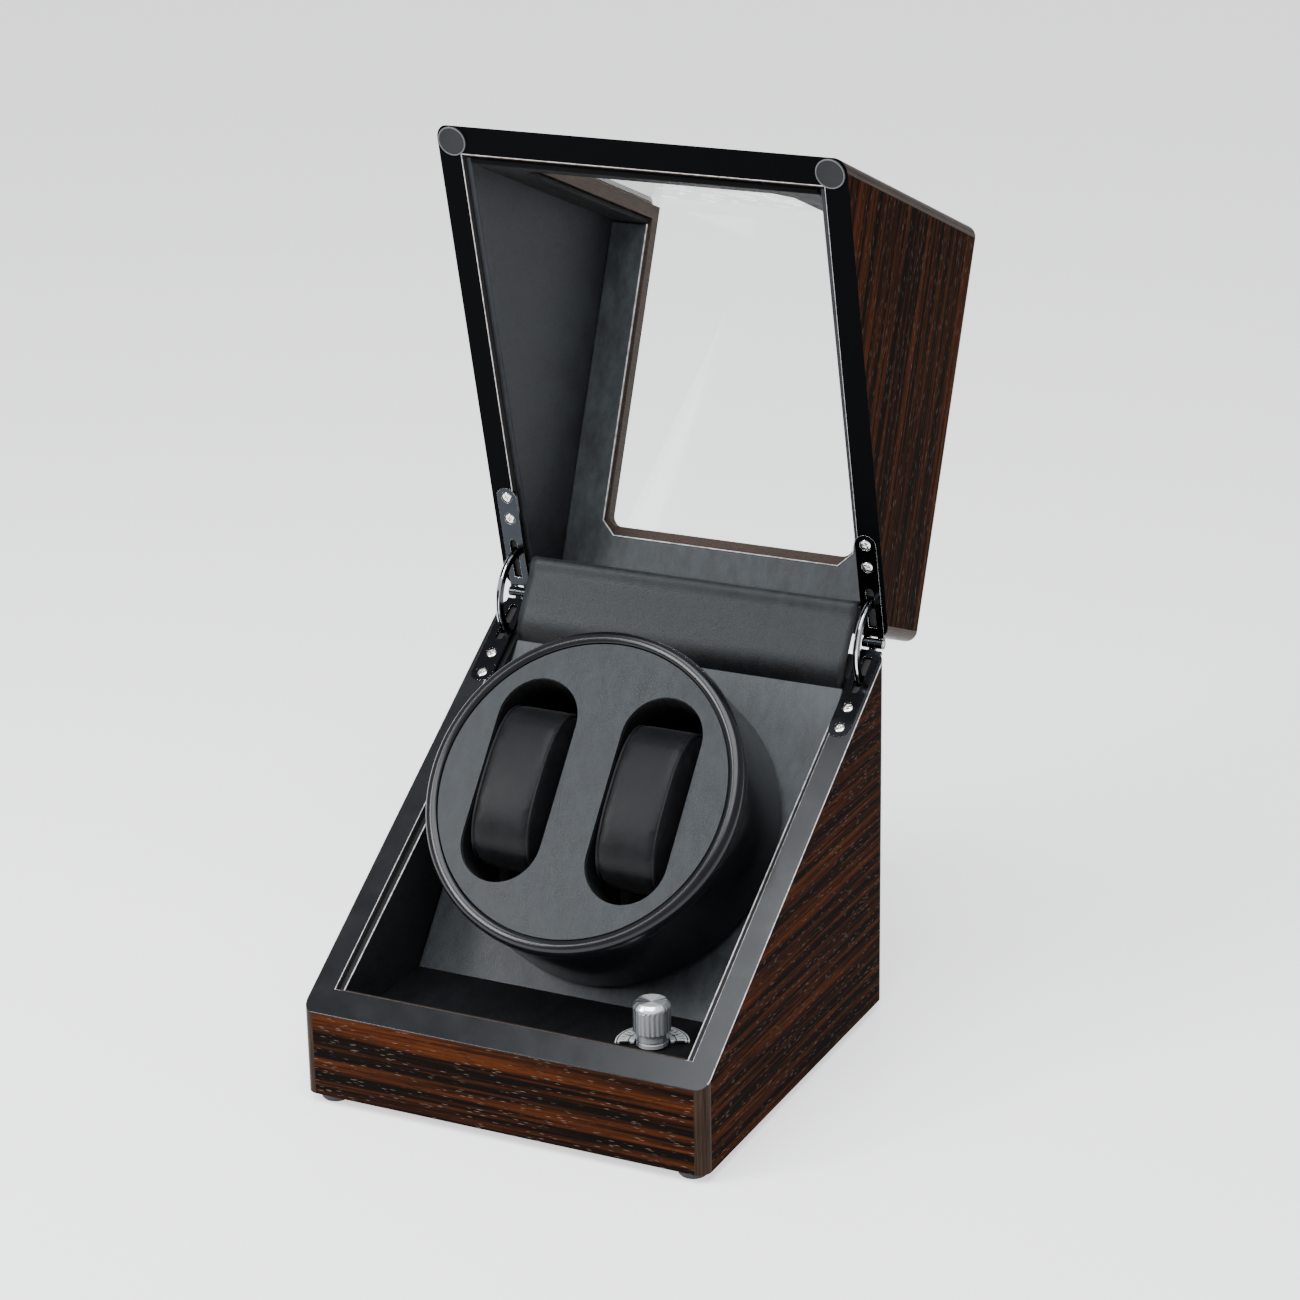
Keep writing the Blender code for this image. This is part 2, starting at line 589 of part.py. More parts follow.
def make_pane(lid):
    inner = EDGE_RADIUS - PANE_THICKNESS
    half = WINDOW_HALF + PANE_LAP - GAP
    rear = WINDOW_REAR + PANE_LAP - GAP
    sill = WINDOW_SILL - PANE_LAP + GAP
    bend = (EDGE_RADIUS - HALF_Y, HEIGHT - EDGE_RADIUS)
    outline = ([(PANE_THICKNESS - HALF_Y, sill), (-HALF_Y, sill)] + arc(bend, EDGE_RADIUS, 180, 90)
               + [(rear, HEIGHT), (rear, HEIGHT - PANE_THICKNESS)] + arc(bend, inner, 90, 180))

    def corner(edge):
        first, last = (v.co / MM for v in edge.verts)
        short = (first - last).length < PANE_THICKNESS + 0.1 and abs(first.x - last.x) < 0.01
        at_end = min(first.y, last.y) > rear - 0.1 or max(first.z, last.z) < sill + 0.1
        return short and at_end

    prism("window_pane", [outline], "X", -half, half, lid, CLEAR, (corner, 6.8, 4))


def make_lid_liners(lid):
    reach = INNER_Y - GAP
    ceiling = HEIGHT - WALL - GAP
    under = ceiling - LINER
    rise = LID_RIM_RISE + LINER_DROP
    for side, sign in sides():
        outline = [(-reach, split(-reach, rise)), (reach, split(reach, rise + 1.5)), (reach, ceiling),
                   (-reach, ceiling)]
        low, high = sorted((sign * LINED_X, sign * (INNER_X - GAP)))
        prism(f"lid_{side}_liner", [outline], "X", low, high, lid, BLACK_LEATHER)

    half = LINER_WINDOW_HALF
    snip = LINER_CHAMFER

    def frame_outline(near, border, far):
        """A frame around the window, open at near."""
        turn = 1 if far > near else -1
        return [(PIECE_X, near), (PIECE_X, far), (-PIECE_X, far), (-PIECE_X, near), (-half, near),
                (-half, border - turn * snip), (snip - half, border), (half - snip, border),
                (half, border - turn * snip), (half, near)]

    prism("lid_top_liner", [frame_outline(-LINED_Y + GAP, LINER_WINDOW_REAR, reach)], "Z", under, ceiling,
          lid, LEATHER)
    bottom = split(-LINED_Y, LID_RIM_RISE + 0.6)
    prism("lid_front_liner", [frame_outline(ceiling, LINER_WINDOW_SILL, bottom)], "Y", -reach, -LINED_Y,
          lid, LEATHER)

    low_side = REAR_RIM_DROP - 1.35
    high_side = REAR_RIM_DROP - 0.15
    outline = [(LINED_Y, under - GAP), (reach, under - GAP), (reach, split(reach, high_side)),
               (HALF_Y - 0.2, split(HALF_Y - 0.2, high_side)), (HALF_Y - 0.2, split(HALF_Y - 0.2, low_side)),
               (LINED_Y, split(LINED_Y, low_side))]
    prism("lid_rear_liner", [outline], "X", -PIECE_X + 0.2, PIECE_X - 0.2, lid, LEATHER)


def make_pads(rim_lid):
    """Soft stops on the front corners of the lid's rim; along the rim, Y runs back to the pin."""
    along = math.hypot(PIN_Y + HALF_Y, PIN_Z - FRONT_SPLIT) - 7.0
    top = LID_RIM_RISE - 0.15
    for side, sign in sides():
        cylinder(f"lid_stop_pad_{side}", 6.2, top - 0.6, top, (sign * 83.0, -along), "Z", rim_lid, RUBBER, 24)


# ---- hinges ------------------------------------------------------------------------------
def leaf_outline(centre, length):
    """Leaf seen square to the rim: straight at the pin and round at its far end."""
    half = LEAF_WIDTH / 2
    return ([(centre - half, -LEAF_FROM), (centre - half, -length + half)]
            + arc((centre, -length + half), half, 180, 360, 10)
            + [(centre + half, -LEAF_FROM)])


def make_leaf(name, rim, centre, length, level, knuckles, wood):
    """A hinge leaf sunk in the rim; level is +1 on the lid, whose leaf faces down when shut."""
    rim_height = LID_RIM_RISE if level > 0 else -BASE_RIM_DROP
    face = rim_height + level * LEAF_SINK
    back = face + level * LEAF_THICKNESS
    low, high = sorted((face, back))
    near, far = LEAF_SLOT
    slot = [(centre - LEAF_SLOT_HALF, -near), (centre - LEAF_SLOT_HALF, -far),
            (centre + LEAF_SLOT_HALF, -far), (centre + LEAF_SLOT_HALF, -near)]
    leaf = prism(name, [leaf_outline(centre, length), slot], "Z", low, high, rim, CHROME)
    for index, (start, stop) in enumerate(knuckles):
        barrel = (arc((0, 0), BARREL_RADIUS, 0, 360 * 19 / 20, 19))
        knuckle = prism(f"{name}_barrel_{index}", [barrel], "X", start, stop, rim)
        tongue = box(f"{name}_tongue_{index}", (start, -LEAF_FROM - 1.5, low), (stop, -0.5, high), rim)
        cut(leaf, knuckle, tongue, operation="UNION")
    bore = prism(f"{name}_bore", [circle((0, 0), PIN_RADIUS + 0.12, 20)], "X", centre - 9, centre + 9, rim)
    cut(leaf, bore)

    sunk = level * (LEAF_THICKNESS + LEAF_SINK + GAP)
    pocket_low, pocket_high = sorted((rim_height + sunk, rim_height - level * 3))
    half = LEAF_WIDTH / 2 + GAP
    pocket = prism(f"{name}_recess", [[(centre - half - 3 * (centre > 0), 4),
                                       (centre - half - 3 * (centre > 0), -length + half)]
                                      + arc((centre, -length + half - GAP), half, 180, 360, 10)
                                      + [(centre + half + 3 * (centre < 0), 4)]], "Z", pocket_low,
                   pocket_high, rim)
    cut(wood, pocket)
    side = name.rsplit("_", 1)[1]
    half_name = "lid" if level > 0 else "base"
    for index, back_off in enumerate(SCREW_FROM_END):
        at = (centre, -length + back_off)
        head_low, head_high = sorted((face + level * 0.05, face + level * 0.85))
        tip = face + level * SCREW_LENGTH
        shank_low, shank_high = sorted((face + level * 0.5, tip))
        number = 1 + index
        seat_low, seat_high = sorted((face - level, face + level * 1.0))
        cut(leaf, cylinder(f"{name}_seat_{index}", SCREW_HEAD + 0.25, seat_low, seat_high, at, "Z", rim),
            cylinder(f"{name}_hole_{index}", SCREW_SHANK + 0.3, low - 2, high + 2, at, "Z", rim, sides=16))
        screw = cylinder(f"hinge_screw_{half_name}_{side}_{number}", SCREW_HEAD, head_low, head_high, at, "Z",
                         rim, CHROME)
        cut(screw, cylinder(f"{name}_shank_{index}", SCREW_SHANK, shank_low, shank_high, at, "Z", rim,
                            sides=12), operation="UNION")
        hole_low, hole_high = sorted((face, tip + level * 1.0))
        cut(wood, cylinder(f"{name}_pilot_{index}", SCREW_SHANK + 0.3, hole_low, hole_high, at, "Z", rim,
                           sides=12))


def sector(inner, outer, start, stop, steps):
    """Ring sector in the hinge's Y, Z plane; 0 degrees is the rim plane towards the front, and
    angles grow from the base's side of the joint to the lid's."""
    return (arc((0, 0), outer, 180 - start, 180 - stop, steps)
            + arc((0, 0), inner, 180 - stop, 180 - start, steps))


def make_hinges(rim_base, rim_lid, base_panels, lid_panels):
    pitch = BARREL_LENGTH + 0.25
    for side, sign in sides():
        centre = sign * HINGE_X
        middle = [(centre - BARREL_LENGTH / 2, centre + BARREL_LENGTH / 2)]
        outer = [(centre + k * pitch - BARREL_LENGTH / 2, centre + k * pitch + BARREL_LENGTH / 2)
                 for k in (-1, 1)]
        make_leaf(f"base_hinge_leaf_{side}", rim_base, centre, BASE_LEAF_TO, -1, middle, base_panels[side])
        make_leaf(f"lid_hinge_leaf_{side}", rim_lid, centre, LID_LEAF_TO, 1, outer, lid_panels[side])
        reach = pitch + BARREL_LENGTH / 2 - 0.1
        prism(f"hinge_pin_{side}", [circle((0, 0), PIN_RADIUS, 16)], "X", centre - reach, centre + reach,
              rim_base, STEEL)
        half = STAY_THICKNESS / 2
        curve = sector(STAY_INNER, STAY_OUTER, -STAY_IN_BASE, LID_OPEN + STAY_IN_LID, 22)
        prism(f"hinge_stay_{side}", [curve], "X", centre - half, centre + half, rim_base, CHROME)
        groove = half + STAY_CLEARANCE
        for panel, rim, start, stop in ((base_panels[side], rim_base, -BASE_POCKET, 12),
                                        (lid_panels[side], rim_lid, -12, LID_POCKET)):
            mortise = prism(f"{panel.name}_mortise", [sector(STAY_INNER - 1, STAY_OUTER + 1, start, stop, 20)],
                            "X", centre - groove, centre + groove, rim)
            cut(panel, mortise)


# ---- assembly ----------------------------------------------------------------------------
clear_scene()
PARTS = collection("watch_winder_box")
CUTTERS = collection("cutters")
GUIDES = collection("axes")

hinge_line = (0, PIN_Y, PIN_Z)
rim_base = frame("base_rim_axis", hinge_line, math.degrees(SLOPE))
lid_axis = frame("lid_axis", hinge_line, -LID_OPEN)
lid = frame("lid_shut_frame", (0, -PIN_Y, -PIN_Z), parent=lid_axis)
rim_lid = frame("lid_rim_axis", (0, 0, 0), math.degrees(SLOPE), parent=lid_axis)
turntable = frame("turntable_axis", FACE_CENTRE, TILT)

base_panels = make_base_panels()
make_bottom_and_feet()
make_base_liners()
make_inner_panels(turntable)
make_controls()
make_drive(turntable)
make_electrics()
make_turntable(turntable)
lid_panels = make_lid_panels(lid)
make_pane(lid)
make_lid_liners(lid)
make_pads(rim_lid)
make_hinges(rim_base, rim_lid, base_panels, lid_panels)
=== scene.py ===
"""Looks of the watch winder box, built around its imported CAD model.

Sizes are in millimetres, in the CAD model's frame, and MM turns them into metres.  The lid's
pieces are made as if the lid were shut and then swung open with it.
"""
import math

import bmesh
import bpy
from mathutils import Matrix, Vector
from mathutils.bvhtree import BVHTree


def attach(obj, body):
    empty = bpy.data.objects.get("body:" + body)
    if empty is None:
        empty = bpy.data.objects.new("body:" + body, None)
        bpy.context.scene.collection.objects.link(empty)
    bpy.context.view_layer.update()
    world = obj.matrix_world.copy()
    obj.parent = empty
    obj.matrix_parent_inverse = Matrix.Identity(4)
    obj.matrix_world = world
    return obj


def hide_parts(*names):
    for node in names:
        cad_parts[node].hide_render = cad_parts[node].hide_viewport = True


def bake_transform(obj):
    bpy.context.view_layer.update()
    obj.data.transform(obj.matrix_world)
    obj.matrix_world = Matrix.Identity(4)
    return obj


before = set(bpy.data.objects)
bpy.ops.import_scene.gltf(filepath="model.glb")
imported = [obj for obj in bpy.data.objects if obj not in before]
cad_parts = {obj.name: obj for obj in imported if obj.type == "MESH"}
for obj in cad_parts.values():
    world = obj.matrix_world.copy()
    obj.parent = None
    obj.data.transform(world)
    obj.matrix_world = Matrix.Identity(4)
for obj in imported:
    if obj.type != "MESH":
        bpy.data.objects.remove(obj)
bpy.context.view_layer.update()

MM = 0.001

# ---- driving sizes, as in the CAD model --------------------------------------------------
HALF_X = 90.0
HALF_Y = 89.0
HEIGHT = 194.0
FRONT_SPLIT = 37.0
REAR_SPLIT = 157.0
WALL = 10.2
EDGE_RADIUS = 5.0
BOTTOM = 8.0
INNER_X = HALF_X - WALL
INNER_Y = HALF_Y - WALL
CEILING = HEIGHT - WALL
GAP = 0.3
RIM_DROP = 0.5
RIM_RISE = 0.6
REAR_RIM_DROP = 2.6
LINER = 2.6
LINED_X = 76.9
LINED_Y = 75.9
LINER_DROP = 2.2
SLOPE = math.atan2(REAR_SPLIT - FRONT_SPLIT, 2 * HALF_Y)
RIM_NORMAL = Vector((0, -math.sin(SLOPE), math.cos(SLOPE)))

PIN_Y = HALF_Y + 2.8
PIN_Z = FRONT_SPLIT + (PIN_Y + HALF_Y) * math.tan(SLOPE)
LID_OPEN = 111.4
HINGE_X = 83.2
LEAF_HALF = 4.7
LEAF_THICKNESS = 1.5
BASE_LEAF_TO = 48.2
LID_LEAF_TO = 51.0
LEAF_SLOT = (7.0, 24.0)
SLOT_HALF = 1.8
BARREL_RADIUS = 2.15
SCREW_FROM_END = (4.6, 15.0)

TILT = 50.7
FACE_CENTRE = Vector((0.0, -13.9, 118.8))
FACE_RADIUS = 62.9
RIM_RADIUS = 69.0
DRUM_RADIUS = 68.0
DRUM_DEPTH = 52.0
PANEL_DEPTH = 53.8
SLOT_OFFSET = 28.2
SLOT_RADIUS = 17.8
SLOT_LENGTH = 88.0

LEDGE_TOP = 28.6
KNOB_AT = Vector((46.0, -45.5, 0.0))

WINDOW_HALF = 58.3
WINDOW_REAR = 57.0
WINDOW_SILL = 70.0
PANE_THICKNESS = 4.0
PANE_LAP = 5.6

# ---- places ------------------------------------------------------------------------------
def move(x, y, z):
    return Matrix.Translation(Vector((x, y, z)) * MM)


def turn(degrees, axis):
    return Matrix.Rotation(math.radians(degrees), 4, axis)


HERE = Matrix.Identity(4)
PIVOT = move(0, PIN_Y, PIN_Z)
LID = PIVOT @ turn(-LID_OPEN, "X") @ PIVOT.inverted()
BASE_RIM = PIVOT @ turn(math.degrees(SLOPE), "X")
LID_RIM = LID @ BASE_RIM
TURNTABLE = move(*FACE_CENTRE) @ turn(TILT, "X")


# ---- mesh helpers ------------------------------------------------------------------------
CREASE = math.radians(35)
AXES = {
    "X": Matrix(((0, 0, 1, 0), (1, 0, 0, 0), (0, 1, 0, 0), (0, 0, 0, 1))),    # outline in Y, Z
    "Y": Matrix(((1, 0, 0, 0), (0, 0, -1, 0), (0, 1, 0, 0), (0, 0, 0, 1))),   # outline in X, Z
    "Z": Matrix.Identity(4),                                                  # outline in X, Y
}


def new_object(name, bm, place=HERE):
    """An object from a bmesh, smooth shaded, its sharper creases kept."""
    bmesh.ops.recalc_face_normals(bm, faces=bm.faces)
    for face in bm.faces:
        face.smooth = True
    for edge in bm.edges:
        edge.smooth = edge.calc_face_angle(0) < CREASE
    mesh = bpy.data.meshes.new(name)
    bm.to_mesh(mesh)
    bm.free()
    obj = bpy.data.objects.new(name, mesh)
    obj.matrix_world = place
    bpy.context.scene.collection.objects.link(obj)
    return obj


def prism_mesh(outlines, axis, low, high):
    """A flat outline, with any holes as further outlines, thickened from low to high on axis."""
    curve = bpy.data.curves.new("outline", "CURVE")
    curve.dimensions = "2D"
    curve.fill_mode = "BOTH"
    curve.extrude = (high - low) / 2 * MM
    for outline in outlines:
        spline = curve.splines.new("POLY")
        spline.points.add(len(outline) - 1)
        for point, (u, v) in zip(spline.points, outline):
            point.co = (u * MM, v * MM, 0, 1)
        spline.use_cyclic_u = True
    flat = bpy.data.objects.new("outline", curve)
    bpy.context.scene.collection.objects.link(flat)
    mesh = bpy.data.meshes.new_from_object(flat.evaluated_get(bpy.context.evaluated_depsgraph_get()))
    bpy.data.objects.remove(flat)
    bpy.data.curves.remove(curve)
    bm = bmesh.new()
    bm.from_mesh(mesh)
    bpy.data.meshes.remove(mesh)
    bmesh.ops.remove_doubles(bm, verts=bm.verts, dist=0.00001)
    bmesh.ops.dissolve_limit(bm, angle_limit=math.radians(0.5), verts=bm.verts, edges=bm.edges)
    middle = (low + high) / 2 * MM
    bmesh.ops.translate(bm, verts=bm.verts, vec=(0, 0, middle if axis != "Y" else -middle))
    bmesh.ops.transform(bm, matrix=AXES[axis], verts=bm.verts)
    return bm


def prism(name, outlines, axis, low, high, place=HERE):
    return new_object(name, prism_mesh(outlines, axis, low, high), place)


def block(name, low, high, place=HERE):
    outline = [(low[1], low[2]), (high[1], low[2]), (high[1], high[2]), (low[1], high[2])]
    return prism(name, [outline], "X", low[0], high[0], place)


def lathe_mesh(profile, steps):
    """A closed profile of (radius, height) points turned about Z."""
    bm = bmesh.new()
    rings = []
    for radius, height in profile:
        if radius < 1e-6:
            rings.append([bm.verts.new((0, 0, height * MM))])
            continue
        angles = (math.tau * i / steps for i in range(steps))
        rings.append([bm.verts.new((radius * MM * math.cos(a), radius * MM * math.sin(a), height * MM))
                      for a in angles])
    closed = profile[0][0] > 1e-6
    for index in range(len(rings) if closed else len(rings) - 1):
        here, after = rings[index], rings[(index + 1) % len(rings)]
        for i in range(steps):
            j = (i + 1) % steps
            corners = [here[i % len(here)], here[j % len(here)]]
            corners += [after[j % len(after)], after[i % len(after)]]
            bm.faces.new(list(dict.fromkeys(corners)))
    return bm


def lathe(name, profile, place=HERE, steps=96):
    return new_object(name, lathe_mesh(profile, steps), place)


def combine(obj, tools, operation="DIFFERENCE"):
    """Boolean obj with each tool and keep the result; the tools are used up."""
    for tool in tools:
        boolean = obj.modifiers.new("combine", "BOOLEAN")
        boolean.operation = operation
        boolean.solver = "EXACT"
        boolean.object = tool
    keep(obj)
    for tool in tools:
        bpy.data.objects.remove(tool)


def keep(obj):
    """Apply obj's modifiers."""
    graph = bpy.context.evaluated_depsgraph_get()
    mesh = bpy.data.meshes.new_from_object(obj.evaluated_get(graph), depsgraph=graph)
    old = obj.data
    obj.modifiers.clear()
    obj.data = mesh
    bpy.data.meshes.remove(old)


def round_edges(obj, width, steps=3, above=35):
    bevel = obj.modifiers.new("rounded", "BEVEL")
    bevel.width = width * MM
    bevel.segments = steps
    bevel.limit_method = "ANGLE"
    bevel.angle_limit = math.radians(above)
    return even_shading(obj)


def even_shading(obj):
    """Keep the shading of flat faces flat right up to their rounded edges."""
    normals = obj.modifiers.new("even", "WEIGHTED_NORMAL")
    normals.keep_sharp = True
    normals.weight = 100
    return obj


def tube(name, points, radius, place=HERE, cyclic=False):
    """A round wire through points."""
    curve = bpy.data.curves.new(name, "CURVE")
    curve.dimensions = "3D"
    curve.bevel_depth = radius * MM
    curve.bevel_resolution = 3
    curve.use_fill_caps = True
    spline = curve.splines.new("POLY")
    spline.points.add(len(points) - 1)
    for point, at in zip(spline.points, points):
        point.co = (*(Vector(at) * MM), 1)
    spline.use_cyclic_u = cyclic
    wire = bpy.data.objects.new(name, curve)
    bpy.context.scene.collection.objects.link(wire)
    mesh = bpy.data.meshes.new_from_object(wire.evaluated_get(bpy.context.evaluated_depsgraph_get()))
    bpy.data.objects.remove(wire)
    bm = bmesh.new()
    bm.from_mesh(mesh)
    bpy.data.meshes.remove(mesh)
    bmesh.ops.remove_doubles(bm, verts=bm.verts, dist=0.000001)
    return new_object(name, bm, place)


def arc(centre, radius, start, stop, steps=8):
    return [(centre[0] + radius * math.cos(math.radians(start + (stop - start) * i / steps)),
             centre[1] + radius * math.sin(math.radians(start + (stop - start) * i / steps)))
            for i in range(steps + 1)]


def circle(centre, radius, sides=32):
    return arc(centre, radius, 0, 360 * (sides - 1) / sides, sides - 1)


def stadium(centre, radius, length, steps=24):
    reach = length / 2 - radius
    return (arc((centre[0], centre[1] + reach), radius, 0, 180, steps)
            + arc((centre[0], centre[1] - reach), radius, 180, 360, steps))


def split(y, drop=0.0):
    """Height of the slanted joint at y, shifted by drop square to the joint."""
    return FRONT_SPLIT + (y + HALF_Y) * math.tan(SLOPE) + drop / math.cos(SLOPE)


def sides():
    return (("left", -1), ("right", 1))


def dress(obj, *finishes):
    """Give obj the materials of these names, in this order."""
    obj.data.materials.clear()
    for finish in finishes:
        obj.data.materials.append(look[finish])


def place_piece(obj, finishes, body, node, *others, stands_for=True):
    """obj wears its finishes and rides on body; it stands for node and the others, which are hidden."""
    dress(obj, *finishes)
    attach(obj, body)
    if stands_for:
        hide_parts(node, *others)


# ---- material helpers --------------------------------------------------------------------
class Nodes:
    """A short way to build a material's node tree."""

    def __init__(self, name, **sockets):
        self.material = bpy.data.materials.new(name)
        self.material.use_nodes = True
        self.tree = self.material.node_tree
        self.shader = self.tree.nodes["Principled BSDF"]
        for socket, value in sockets.items():
            self.shader.inputs[socket.replace("_", " ")].default_value = value

    def add(self, kind, inputs=None, **settings):
        node = self.tree.nodes.new(kind)
        for key, value in settings.items():
            setattr(node, key, value)
        for key, value in (inputs or {}).items():
            self.feed(node.inputs[key], value)
        return node

    def feed(self, socket, value):
        if hasattr(value, "is_output"):
            self.tree.links.new(value, socket)
        else:
            socket.default_value = value

    def out(self, socket, value):
        self.feed(self.shader.inputs[socket], value)

    def place(self, scale=(1, 1, 1), turn_by=(0, 0, 0)):
        """The object's own coordinates, in metres."""
        where = self.add("ShaderNodeTexCoord")
        mapping = self.add("ShaderNodeMapping", {"Vector": where.outputs["Object"], "Scale": scale,
                                                 "Rotation": turn_by})
        return mapping.outputs["Vector"]

    def grain(self, scale=(1, 1, 1), offset=(0, 0, 0)):
        """Coordinates along and across the veneer's grain, in metres, from the grain map."""
        where = self.add("ShaderNodeUVMap", uv_map="grain")
        mapping = self.add("ShaderNodeMapping", {"Vector": where.outputs["UV"], "Scale": scale,
                                                 "Location": offset})
        return mapping.outputs["Vector"]

    def noise(self, vector, scale, detail=4.0, roughness=0.5):
        node = self.add("ShaderNodeTexNoise", {"Vector": vector, "Scale": scale, "Detail": detail,
                                               "Roughness": roughness})
        return node.outputs["Fac"]

    def cells(self, vector, scale, feature="F1"):
        node = self.add("ShaderNodeTexVoronoi", {"Vector": vector, "Scale": scale}, feature=feature)
        return node.outputs["Distance"]

    def math(self, operation, first, second=0.0):
        node = self.add("ShaderNodeMath", operation=operation)
        self.feed(node.inputs[0], first)
        self.feed(node.inputs[1], second)
        return node.outputs["Value"]

    def times(self, first, second):
        return self.math("MULTIPLY", first, second)

    def plus(self, first, second):
        return self.math("ADD", first, second)

    def fit(self, value, low, high, to_low=0.0, to_high=1.0):
        node = self.add("ShaderNodeMapRange", {"Value": value, "From Min": low, "From Max": high,
                                               "To Min": to_low, "To Max": to_high})
        return node.outputs["Result"]

    def ramp(self, value, *stops):
        node = self.add("ShaderNodeValToRGB", {"Fac": value})
        elements = node.color_ramp.elements
        while len(elements) < len(stops):
            elements.new(0.5)
        for element, (position, colour) in zip(elements, stops):
            element.position = position
            element.color = (*colour, 1.0)
        return node.outputs["Color"]

    def mix(self, factor, first, second):
        node = self.add("ShaderNodeMix", data_type="RGBA")
        self.feed(node.inputs["Factor"], factor)
        for socket, value in zip(("A", "B"), (first, second)):
            target = next(s for s in node.inputs if s.name == socket and s.type == "RGBA")
            self.feed(target, (*value, 1.0) if isinstance(value, tuple) else value)
        return next(s for s in node.outputs if s.type == "RGBA")

    def relief(self, height, depth, strength):
        """Bump the surface by height, depth millimetres deep."""
        inputs = {"Height": height, "Distance": depth * MM, "Strength": strength}
        self.out("Normal", self.add("ShaderNodeBump", inputs).outputs["Normal"])

    def tint(self, pattern, dark, light, smooth, rough, ends=(0.3, 0.7)):
        """Colour from dark to light and roughness from smooth to rough, both along pattern."""
        self.out("Base Color", self.ramp(pattern, (ends[0], dark), (ends[1], light)))
        self.out("Roughness", self.fit(pattern, 0.3, 0.7, smooth, rough))


PER_MM = 1000.0      # a texture scale of PER_MM repeats once a millimetre


def shade(colour, factor):
    return tuple(c * factor for c in colour)


def veneer_material(name, dark, light, stripe, seed, shine):
    """Striped ebony veneer: broad and fine stripes along the grain, pores with pale flecks."""
    n = Nodes(name, Specular_IOR_Level=shine)
    broad = n.noise(n.grain((0.018, 1, 1), (seed, seed, 0)), PER_MM / stripe, 3.0, 0.55)
    fine = n.noise(n.grain((0.015, 1, 1), (seed * 2, 0, 0)), PER_MM / (stripe * 0.28), 3.0, 0.6)
    fibre = n.noise(n.grain((0.06, 1, 1)), PER_MM / 0.55, 3.0, 0.6)
    stripes = n.plus(n.times(broad, 0.60), n.times(fine, 0.40))
    middle = tuple(d + (l - d) * 0.42 for d, l in zip(dark, light))
    colour = n.ramp(stripes, (0.40, dark), (0.465, dark), (0.53, middle), (0.62, light))
    colour = n.mix(n.fit(fibre, 0.35, 0.75, 0.0, 0.55), colour, dark)
    pore_map = n.grain((0.08, 1, 1), (0, seed * 3, 0))
    bend = n.add("ShaderNodeTexNoise", {"Vector": n.grain((0.6, 0.6, 1)), "Scale": PER_MM / 9.0})
    shifted = n.add("ShaderNodeMixRGB", {"Fac": 0.00035, "Color1": pore_map,
                                         "Color2": bend.outputs["Color"]})
    pores = n.cells(shifted.outputs["Color"], PER_MM / 0.62)
    where = n.noise(n.grain((0.25, 1, 1), (0, seed, 0)), PER_MM / 5.0, 2.0)
    flecks = n.times(n.fit(pores, 0.22, 0.10), n.fit(where, 0.40, 0.52))
    dark_pores = n.times(n.fit(pores, 0.42, 0.2), n.fit(where, 0.50, 0.38))
    colour = n.mix(n.times(dark_pores, 0.7), colour, (0.003, 0.002, 0.0016))
    colour = n.mix(n.times(flecks, 0.55), colour, (0.20, 0.165, 0.135))
    n.out("Base Color", colour)
    n.out("Roughness", n.fit(fibre, 0.2, 0.8, 0.34, 0.46))
    relief = n.math("SUBTRACT", n.times(fibre, 0.5), pores)
    n.relief(relief, 0.03, 0.5)
    return n.material


def edge_band_material():
    """The dark lacquered rounding between two veneered faces."""
    n = Nodes("edge_band", Specular_IOR_Level=0.03)
    grain = n.noise(n.grain((0.05, 1, 1)), PER_MM / 1.2, 3.0)
    n.tint(grain, (0.012, 0.007, 0.005), (0.040, 0.024, 0.016), 0.22, 0.30)
    return n.material


def lacquer_material(name, tone, roughness, shine):
    """Black lacquer of the rims, with faint cloudiness and hairline wear."""
    n = Nodes(name, Specular_IOR_Level=shine)
    cloud = n.noise(n.place(), PER_MM / 14.0, 4.0, 0.6)
    speck = n.noise(n.place(), PER_MM / 0.7, 2.0)
    n.tint(cloud, shade(tone, 0.8), tone, roughness - 0.03, roughness + 0.05)
    n.relief(speck, 0.01, 0.25)
    return n.material


def painted_edge_highlight_material():
    """Painted highlight on the black lacquer: light grey colour on rounded arrises and beads, standing for
    the light they catch.
    """
    n = Nodes("painted_edge_highlight", Specular_IOR_Level=0.8)
    highlight_mottle = n.noise(n.place(), PER_MM / 3.0, 4.0, 0.6)
    n.tint(highlight_mottle, (0.30, 0.28, 0.28), (0.70, 0.66, 0.66), 0.22, 0.34, (0.35, 0.65))
    return n.material


